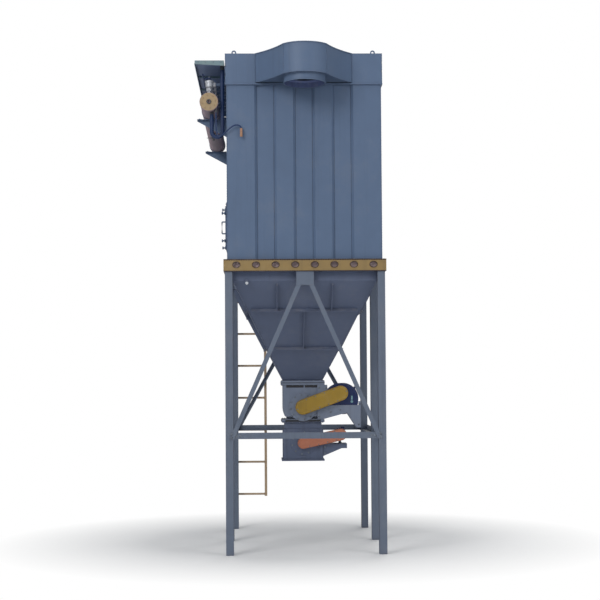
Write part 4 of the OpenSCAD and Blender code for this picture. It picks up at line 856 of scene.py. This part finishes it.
def dress_upper_drive():
    shell, bolts, bracket = meshes(3)
    motor_y = GEAR.y + GEAR_LEN
    fan_y = motor_y + MOTOR_LEN
    fan_end = fan_y + MOTOR_R / 2

    def on_axis(y):
        return GEAR.x, y, GEAR.z

    add_fins(shell, GEAR, MOTOR_R, MOTOR_R + 0.009, motor_y + 0.022, fan_y - 0.006, 40, (5.13, 5.98))
    add_fins(shell, GEAR, GEAR_R, GEAR_R + 0.005, GEAR.y + 0.030, motor_y - 0.022, 30, (0.9, 2.6))
    add_ring(shell, on_axis(motor_y - 0.014), REAR, GEAR_R - 0.002, GEAR_R + 0.004, 0.013, 64)
    add_hoop(shell, on_axis(GEAR.y + 0.001), FRONT, GEAR_FLANGE_R - 0.003, 0.004, 64)
    for r in (0.030, 0.048, 0.066, 0.084):
        add_ring(shell, on_axis(fan_end), REAR, r, r + 0.006, 0.004, 40)
    add_ring(shell, on_axis(fan_y), REAR, 0.110, 0.114, 0.006, 48)
    for k in range(8):
        place = Matrix.Translation(on_axis(0)) @ Matrix.Rotation(k * pi / 4, 4, "Y")
        add_box(shell, (0.024, fan_end, -0.002), (0.098, fan_end + 0.004, 0.002), 0.0007, place)
    box_x, box_z = GEAR.x + 0.147, GEAR.z + 0.0525
    add_box(shell, (box_x - 0.002, 0.024, box_z - 0.004), (box_x + 0.007, 0.156, box_z + 0.0775), 0.003)
    eye_y, motor_top = motor_y + 0.120, GEAR.z + MOTOR_R
    add_lathe(shell, (GEAR.x, eye_y, motor_top - 0.002), UP,
              [(0.016, 0), (0.016, 0.012), (0.010, 0.016), (0.008, 0.024)], 16)
    add_hoop(shell, (GEAR.x, eye_y, motor_top + 0.034), REAR, 0.015, 0.0045, 16)
    add_piece("upper_motor_shell", shell, navy)
    for y in (0.036, 0.144):
        for up in (0.008, 0.064):
            at = (box_x + 0.007, y, box_z + up)
            add_lathe(bolts, at, RIGHT, [(0.005, 0), (0.005, 0.002), (0.003, 0.0035)], 12)
    add_piece("upper_drive_bolts", bolts, zinc_on_navy)
    for x, z in UPPER_BRACKET_BOLTS:
        add_bolt(bracket, (x, -VALVE_FACE, z), FRONT, VALVE_BOLT)
    add_piece("upper_bracket_bolts", bracket, zinc)


def dress_lower_drive():
    shell, bolts = meshes(2)

    def along(y):
        return SMALL_MOTOR + REAR * y

    gear_end, motor_start = 0.120, SMALL_MOTOR.y + 0.150
    motor_end = SMALL_MOTOR.y + SMALL_LEN - 0.070
    add_fins(shell, SMALL_MOTOR, SMALL_R, SMALL_R + 0.006, motor_start, motor_end, 28, (0.9, 2.3))
    add_ring(shell, along(SMALL_LEN - 0.062), REAR, SMALL_R - 0.002, SMALL_R + 0.006, 0.060, 40)
    for r in (0.018, 0.032, 0.046):
        add_ring(shell, along(SMALL_LEN), REAR, r, r + 0.005, 0.003, 32)
    add_ring(shell, along(gear_end), REAR, SMALL_R - 0.002, SMALL_R + 0.010, 0.012, 40)
    x, z = SMALL_MOTOR.x, SMALL_MOTOR.z
    add_box(shell, (x + 0.012, 0.000, z + 0.045), (x + 0.054, 0.075, z + 0.082), 0.004)
    add_piece("lower_motor_shell", shell, navy)
    for p in ring_points(along(gear_end), FRONT, SMALL_R + 0.004, 8, 0.3):
        add_bolt(bolts, p, FRONT, 0.0038)
    for share in (0.3, 0.65):
        add_lathe(bolts, (x, SMALL_MOTOR.y + SMALL_LEN * share, SMALL_FOOT_Z), UP,
                  [(0.018, 0), (0.018, 0.003), (0.0145, 0.0035), (0.0145, 0.014), (0.0125, 0.016)], 6)
    for z in LOWER_BRACKET_BOLTS:
        add_bolt(bolts, (LOWER_BRACKET_X, LOWER_BRACKET_Y, z), FRONT, LOWER_BOLT)
    add_piece("lower_drive_bolts", bolts, zinc)


# Pulse header

def dress_pulse_valves():
    bolts, coils, nuts = meshes(3)
    pipe_x, plug_x = TANK_X - WIRE_PIPE_OUT, TANK_X - 0.040
    for y in VALVE_PLACES:
        for p in ring_points((TANK_X, y, LID_Z), UP, 0.0395, 6, 0.3):
            add_bolt(bolts, p, UP, 0.0045)
        add_lathe(nuts, (TANK_X, y, RISER_NUT_Z), UP,
                  [(0.027, 0), (0.029, 0.003), (0.029, 0.022), (0.027, 0.025)], 6)
        add_lathe(nuts, (TANK_X + 0.040, y, BLOW_Z), RIGHT, [(0.026, 0), (0.026, 0.020), (0.022, 0.024)], 6)
        add_box(coils, (TANK_X - 0.017, y - 0.017, COIL_Z - 0.014),
                (TANK_X + 0.017, y + 0.017, COIL_Z + 0.016), 0.004)
        add_box(coils, (plug_x, y - 0.012, COIL_Z - 0.012),
                (TANK_X - 0.015, y + 0.012, COIL_Z + 0.012), 0.003)
        add_lathe(coils, (plug_x, y, COIL_Z), LEFT, [(0.008, 0), (0.008, 0.010), (0.006, 0.013)], 12)
        add_tube(coils, [(plug_x - 0.010, y, COIL_Z), (plug_x - 0.020, y, COIL_Z + 0.002),
                         (pipe_x, y, COIL_Z + 0.010), (pipe_x, y, WIRE_PIPE_Z - 0.004)], 0.004)
    ends = VALVE_PLACES[0] - 0.05, VALVE_PLACES[-1] + 0.08
    add_tube(coils, [(pipe_x, y, WIRE_PIPE_Z) for y in ends], 0.010, 12)
    add_piece("pulse_valve_bolts", bolts, zinc)
    add_piece("pulse_valve_nuts", nuts, aluminium)
    add_piece("pilot_coils_and_wire_pipe", coils, cable_skin)


def dress_tank():
    welds, straps, boss, bolts, studs, drain = meshes(6)
    for sy in (-1, 1):
        add_weld_ring(welds, (TANK_X, sy * TANK_END, TANK_Z), REAR, TANK_R, 0.005, 56)
    for y in VALVE_PLACES:
        add_weld_ring(welds, (TANK_X, y, TANK_Z + TANK_R - 0.002), UP, 0.0185, 0.004, 20)
    add_piece("tank_weld_beads", welds, brown)
    strap_top = BRACKET_TOP + 0.005
    for y in BRACKET_PLACES:
        add_ring(straps, (TANK_X, y - 0.020, TANK_Z), REAR, TANK_R - 0.001, TANK_R + 0.004, 0.040, 56)
        for sx in (-1, 1):
            x = TANK_X + sx * 0.112
            add_box(straps, (x - 0.022, y - 0.020, BRACKET_TOP), (x + 0.022, y + 0.020, strap_top), 0.001)
            add_bolt(bolts, (TANK_X + sx * 0.116, y, strap_top), UP, 0.0075)
    add_piece("tank_straps", straps, steel)
    front = (TANK_X, -TANK_END - 0.014, TANK_Z)
    add_ring(boss, front, FRONT, 0.0135, 0.024, 0.010, 32)
    add_piece("tank_port_boss", boss, iron)
    add_piece("tank_bolts", bolts, zinc)
    for p in ring_points(front, FRONT, 0.068, 8, 0.2):
        add_bolt(studs, p, FRONT, 0.006)
    add_piece("tank_cap_studs", studs, cap_tan)
    tank_low = TANK_Z - TANK_R
    add_lathe(drain, (TANK_X, 0.0, tank_low + 0.003), -UP,
              [(0.016, 0), (0.016, 0.014), (0.011, 0.016), (0.011, 0.030), (0.019, 0.032), (0.021, 0.040),
               (0.021, 0.052), (0.019, 0.060), (0.010, 0.062), (0.010, 0.078), (0.008, 0.080)], 20)
    add_box(drain, (TANK_X - 0.075, -0.006, tank_low - 0.050),
            (TANK_X - 0.015, 0.006, tank_low - 0.045), 0.001)
    add_piece("tank_drain_cock", drain, iron)


def dress_canopy():
    rivets, ribs = meshes(2)
    rivet_z, edge_z = CANOPY_TOP - 0.016, CANOPY_TOP - 0.034
    for y in spread(-1.24, 1.24, 17):
        add_lathe(rivets, (CANOPY_X, y, rivet_z), LEFT, RIVET_DOME, 12)
    for x in spread(-1.06, -0.83, 4):
        for sy in (-1, 1):
            add_lathe(rivets, (x, sy * HEAD_Y, rivet_z), (0, sy, 0), RIVET_DOME, 12)
    add_piece("canopy_rivets", rivets, zinc)
    for y in spread(-1.20, 1.20, 5):
        add_box(ribs, (CANOPY_X + 0.005, y - 0.012, CANOPY_TOP - 0.026),
                (CANOPY_BACK, y + 0.012, CANOPY_TOP - 0.004), 0.002)
    add_tube(ribs, [(CANOPY_X, -HEAD_Y, edge_z), (CANOPY_X, HEAD_Y, edge_z)], 0.004)
    for sy in (-1, 1):
        y = sy * HEAD_Y
        add_tube(ribs, [(CANOPY_X, y, edge_z), (CANOPY_BACK + 0.002, y, CANOPY_TOP - 0.052)], 0.004)
    add_piece("canopy_ribs_and_edge", ribs, teal)


# Door, inlet and ladder

def dress_door():
    irons, seal, bolts = meshes(3)
    y, z, face = DOOR_Y, DOOR_Z, DOOR_FACE
    hinge_y = y + 0.256
    for up in (-0.130, 0.130):
        add_lathe(irons, (face + 0.002, hinge_y, z + up - 0.045), UP,
                  [(0.011, 0), (0.012, 0.002), (0.012, 0.088), (0.011, 0.090)], 16)
        add_box(irons, (face - 0.004, y + 0.130, z + up - 0.020),
                (face + 0.001, hinge_y, z + up + 0.020), 0.0015)
        for side in (0.150, 0.205):
            add_bolt(bolts, (face - 0.004, y + side, z + up), LEFT, 0.006)
    for side, up in ((-0.225, -0.140), (-0.225, 0.140), (-0.05, 0.195), (-0.05, -0.195)):
        clamp_y, clamp_z = y + side, z + up
        add_box(irons, (face - 0.010, clamp_y - 0.032, clamp_z - 0.014),
                (face, clamp_y + 0.032, clamp_z + 0.014), 0.003)
        add_lathe(irons, (face - 0.010, clamp_y, clamp_z), LEFT,
                  [(0.008, 0), (0.008, 0.014), (0.017, 0.015), (0.017, 0.024), (0.013, 0.027)], 6)
    grip = ((0.0, -0.060), (0.032, -0.060), (0.036, -0.055), (0.036, 0.055), (0.032, 0.060), (0.0, 0.060))
    add_tube(irons, [(face - out, y - 0.150, z + up) for out, up in grip], 0.007, 10)
    add_piece("door_hinges_clamps_and_handle", irons, steel)
    add_tube(seal, [(face + 0.012, a, b) for a, b, _ in rectangle(y, z, 0.243, 0.213)], 0.005)
    add_piece("door_gasket", seal, cable_skin)
    for side in spread(-0.25, 0.25, 6):
        for up in (-0.230, 0.230):
            add_bolt(bolts, (DOOR_PAD, y + side, z + up), LEFT, 0.0065)
    add_piece("door_bolts", bolts, zinc)


def dress_inlet():
    welds, bolts = meshes(2)
    for out in (0.009, 0.137):
        add_weld_ring(welds, INLET + REAR * out, REAR, 0.208, 0.006, 64)
    add_piece("inlet_weld_beads", welds, steel)
    for t in spread(-0.270, 0.270, 6):
        for x, z in four_sides(t, 0.275):
            add_bolt(bolts, INLET + Vector((x, 0.008, z)), REAR, 0.007)
    add_piece("inlet_pad_bolts", bolts, zinc)


def dress_ladder():
    welds, bolts = meshes(2)
    for i in range(RUNGS):
        for sx in (-1, 1):
            at = (LADDER_X + sx * RUNG_HALF, LADDER_Y + 0.010, RUNG_LOW + i * RUNG_PITCH)
            add_weld_ring(welds, at, RIGHT, 0.0125, 0.0035, 16)
    add_piece("ladder_weld_beads", welds, tan)
    for sx in (-1, 1):
        for stay_z in STAY_PLACES:
            add_bolt(bolts, (LADDER_X + sx * STAY_BOLT_X, LADDER_Y + 0.020, stay_z + 0.005), REAR, 0.007)
    add_piece("ladder_bolts", bolts, zinc)


dress_hopper()
dress_hood()
dress_housing()
dress_ring_beam()
dress_frame()
dress_valves()
dress_guard("upper_guard_cover", "upper_chain_guard", VALVE_FACE, SHAFT_Z,
            GUARD_SPAN, GUARD_RISE, GUARD_R, yellow)
dress_guard("lower_guard_cover", "lower_chain_guard", LOWER_FACE, LOWER_SHAFT_Z,
            LOW_SPAN, LOW_RISE, LOW_R, orange)
dress_gear_cover()
dress_upper_drive()
dress_lower_drive()
dress_pulse_valves()
dress_tank()
dress_canopy()
dress_door()
dress_inlet()
dress_ladder()


# Camera at the photograph's place

EYE = Vector((-0.404, -14.80, 1.695))
LENS = 81.15
TURN_RIGHT = radians(1.481)
TILT_UP = radians(1.82)
ROLL = radians(-0.39)
camera = new_object("camera", bpy.data.cameras.new("camera"))
camera.data.lens = LENS
camera.data.sensor_width = 36.0
camera.data.shift_y = 0.0692
camera.data.clip_end = 200
camera.matrix_world = (Matrix.Translation(EYE) @ Matrix.Rotation(-TURN_RIGHT, 4, "Z")
                       @ Matrix.Rotation(pi / 2 + TILT_UP, 4, "X") @ Matrix.Rotation(ROLL, 4, "Z"))
bpy.context.scene.camera = camera


# Cable and hose, on the same routes as their solids

CABLE_D, HOSE_D = 0.040, 0.014
CABLE_X, CABLE_Y, CABLE_TOP, CABLE_END = -0.822, -1.160, 4.885, 4.435
LOOP_R, LOOP_Z = 0.054, 4.258
CABLE_ROUTE = ([(CABLE_X, CABLE_Y, CABLE_TOP + (LOOP_Z - CABLE_TOP) * i / 10) for i in range(10)]
               + [(CABLE_X - LOOP_R + LOOP_R * cos(radians(15 * i)), CABLE_Y,
                   LOOP_Z - LOOP_R * sin(radians(15 * i))) for i in range(13)]
               + [(CABLE_X - 2 * LOOP_R, CABLE_Y, LOOP_Z + (CABLE_END - LOOP_Z) * i / 4)
                  for i in range(1, 5)])
HOSE_TOP, HOSE_LOW = Vector((-0.8848, -1.224, 4.445)), Vector((-0.836, -1.294, 4.190))
HOSE_ARCH, HOSE_END = Vector((-0.681, -1.318, 4.297)), Vector((-0.630, -1.318, 4.26385))
HOSE_BEND = 0.051
LOW_PULL = Vector((HOSE_BEND, -0.024, HOSE_BEND / 2))


def curve_points(a, b, c, d, count):
    """Points along a smooth curve with two pull points, without its first end."""
    made = []
    for i in range(1, count + 1):
        t = i / count
        made.append((1 - t) ** 3 * a + 3 * (1 - t) ** 2 * t * b + 3 * (1 - t) * t * t * c + t ** 3 * d)
    return made


HOSE_ROUTE = ([HOSE_TOP]
              + curve_points(HOSE_TOP, HOSE_TOP - UP * HOSE_BEND * 3, HOSE_LOW - LOW_PULL, HOSE_LOW, 9)
              + curve_points(HOSE_LOW, HOSE_LOW + LOW_PULL,
                             HOSE_ARCH - RIGHT * HOSE_BEND * 0.9, HOSE_ARCH, 8)
              + curve_points(HOSE_ARCH, HOSE_ARCH + RIGHT * HOSE_BEND * 0.55,
                             HOSE_END + UP * HOSE_BEND * 0.45, HOSE_END, 6))


def add_line(name, route, diameter, node):
    """A flexible line as one smooth curve through the points of its route."""
    data = bpy.data.curves.new(name, "CURVE")
    data.dimensions = "3D"
    data.bevel_depth = diameter / 2
    data.bevel_resolution = 4
    data.resolution_u = 6
    data.use_fill_caps = True
    line = data.splines.new("BEZIER")
    line.bezier_points.add(len(route) - 1)
    for point, place in zip(line.bezier_points, route):
        point.co = place
        point.handle_left_type = point.handle_right_type = "AUTO"
    data.materials.append(cable_skin)
    piece = new_object(name, data)
    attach(piece, "root")
    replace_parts(piece, node)


add_line("hanging_cable_line", CABLE_ROUTE, CABLE_D, "hanging_cable")
add_line("air_hose_line", HOSE_ROUTE, HOSE_D, "air_hose")


# Floor, light and background

def add_floor():
    mesh = bmesh.new()
    bmesh.ops.create_grid(mesh, x_segments=1, y_segments=1, size=60)
    floor = new_object("floor", new_mesh("floor", mesh))
    m, n, shader = new_material("pale_floor")
    place = n.node("ShaderNodeTexCoord").outputs["Object"]
    tone = n.span(n.noise(place, 0.6, 3), 0.3, 0.7, 0.0, 1.0)
    n.put(shader.inputs["Base Color"], n.blend(tone, (0.86, 0.86, 0.86, 1), (0.90, 0.90, 0.90, 1)))
    shader.inputs["Roughness"].default_value = 0.9
    away = n.node("ShaderNodeVectorMath", operation="LENGTH")
    n.put(away.inputs[0], place)
    white = n.node("ShaderNodeEmission")
    white.inputs["Color"].default_value = (1, 1, 1, 1)
    rays = n.node("ShaderNodeLightPath")
    fade = n.math("MULTIPLY", n.span(away.outputs["Value"], 1.6, 3.4), rays.outputs["Is Camera Ray"])
    n.show_mix("Material Output", fade, shader, white)
    floor.data.materials.append(m)


def add_lamp(name, place, look_at, size, power):
    data = bpy.data.lights.new(name, "AREA")
    data.shape = "SQUARE"
    data.size = size
    data.energy = power
    lamp = new_object(name, data)
    lamp.location = place
    lamp.rotation_euler = (Vector(look_at) - Vector(place)).to_track_quat("-Z", "Y").to_euler()


def set_world():
    world = bpy.data.worlds.new("studio")
    world.use_nodes = True
    bpy.context.scene.world = world
    n = Net(world.node_tree)
    glow = world.node_tree.nodes["Background"]
    shown = n.node("ShaderNodeBackground")
    shown.inputs["Color"].default_value = (1, 1, 1, 1)
    glow.inputs["Color"].default_value = (0.94, 0.97, 1.0, 1)
    glow.inputs["Strength"].default_value = 0.36
    rays = n.node("ShaderNodeLightPath")
    seen_ray = n.math("MAXIMUM", rays.outputs["Is Camera Ray"], rays.outputs["Is Transmission Ray"])
    n.show_mix("World Output", seen_ray, glow, shown)


add_floor()
set_world()
add_lamp("key", (-6.8, -11.4, 9.0), (0, 0, 2.8), 5.0, 612)
add_lamp("fill", (8.0, -10.0, 6.0), (0, 0, 2.8), 6.0, 250)
add_lamp("overhead", (0.0, -1.0, 11.5), (0, 0, 0), 8.0, 330)
add_lamp("back", (4.0, 10.0, 9.0), (0, 0, 3.0), 6.0, 320)
bpy.context.scene.view_settings.view_transform = "Standard"
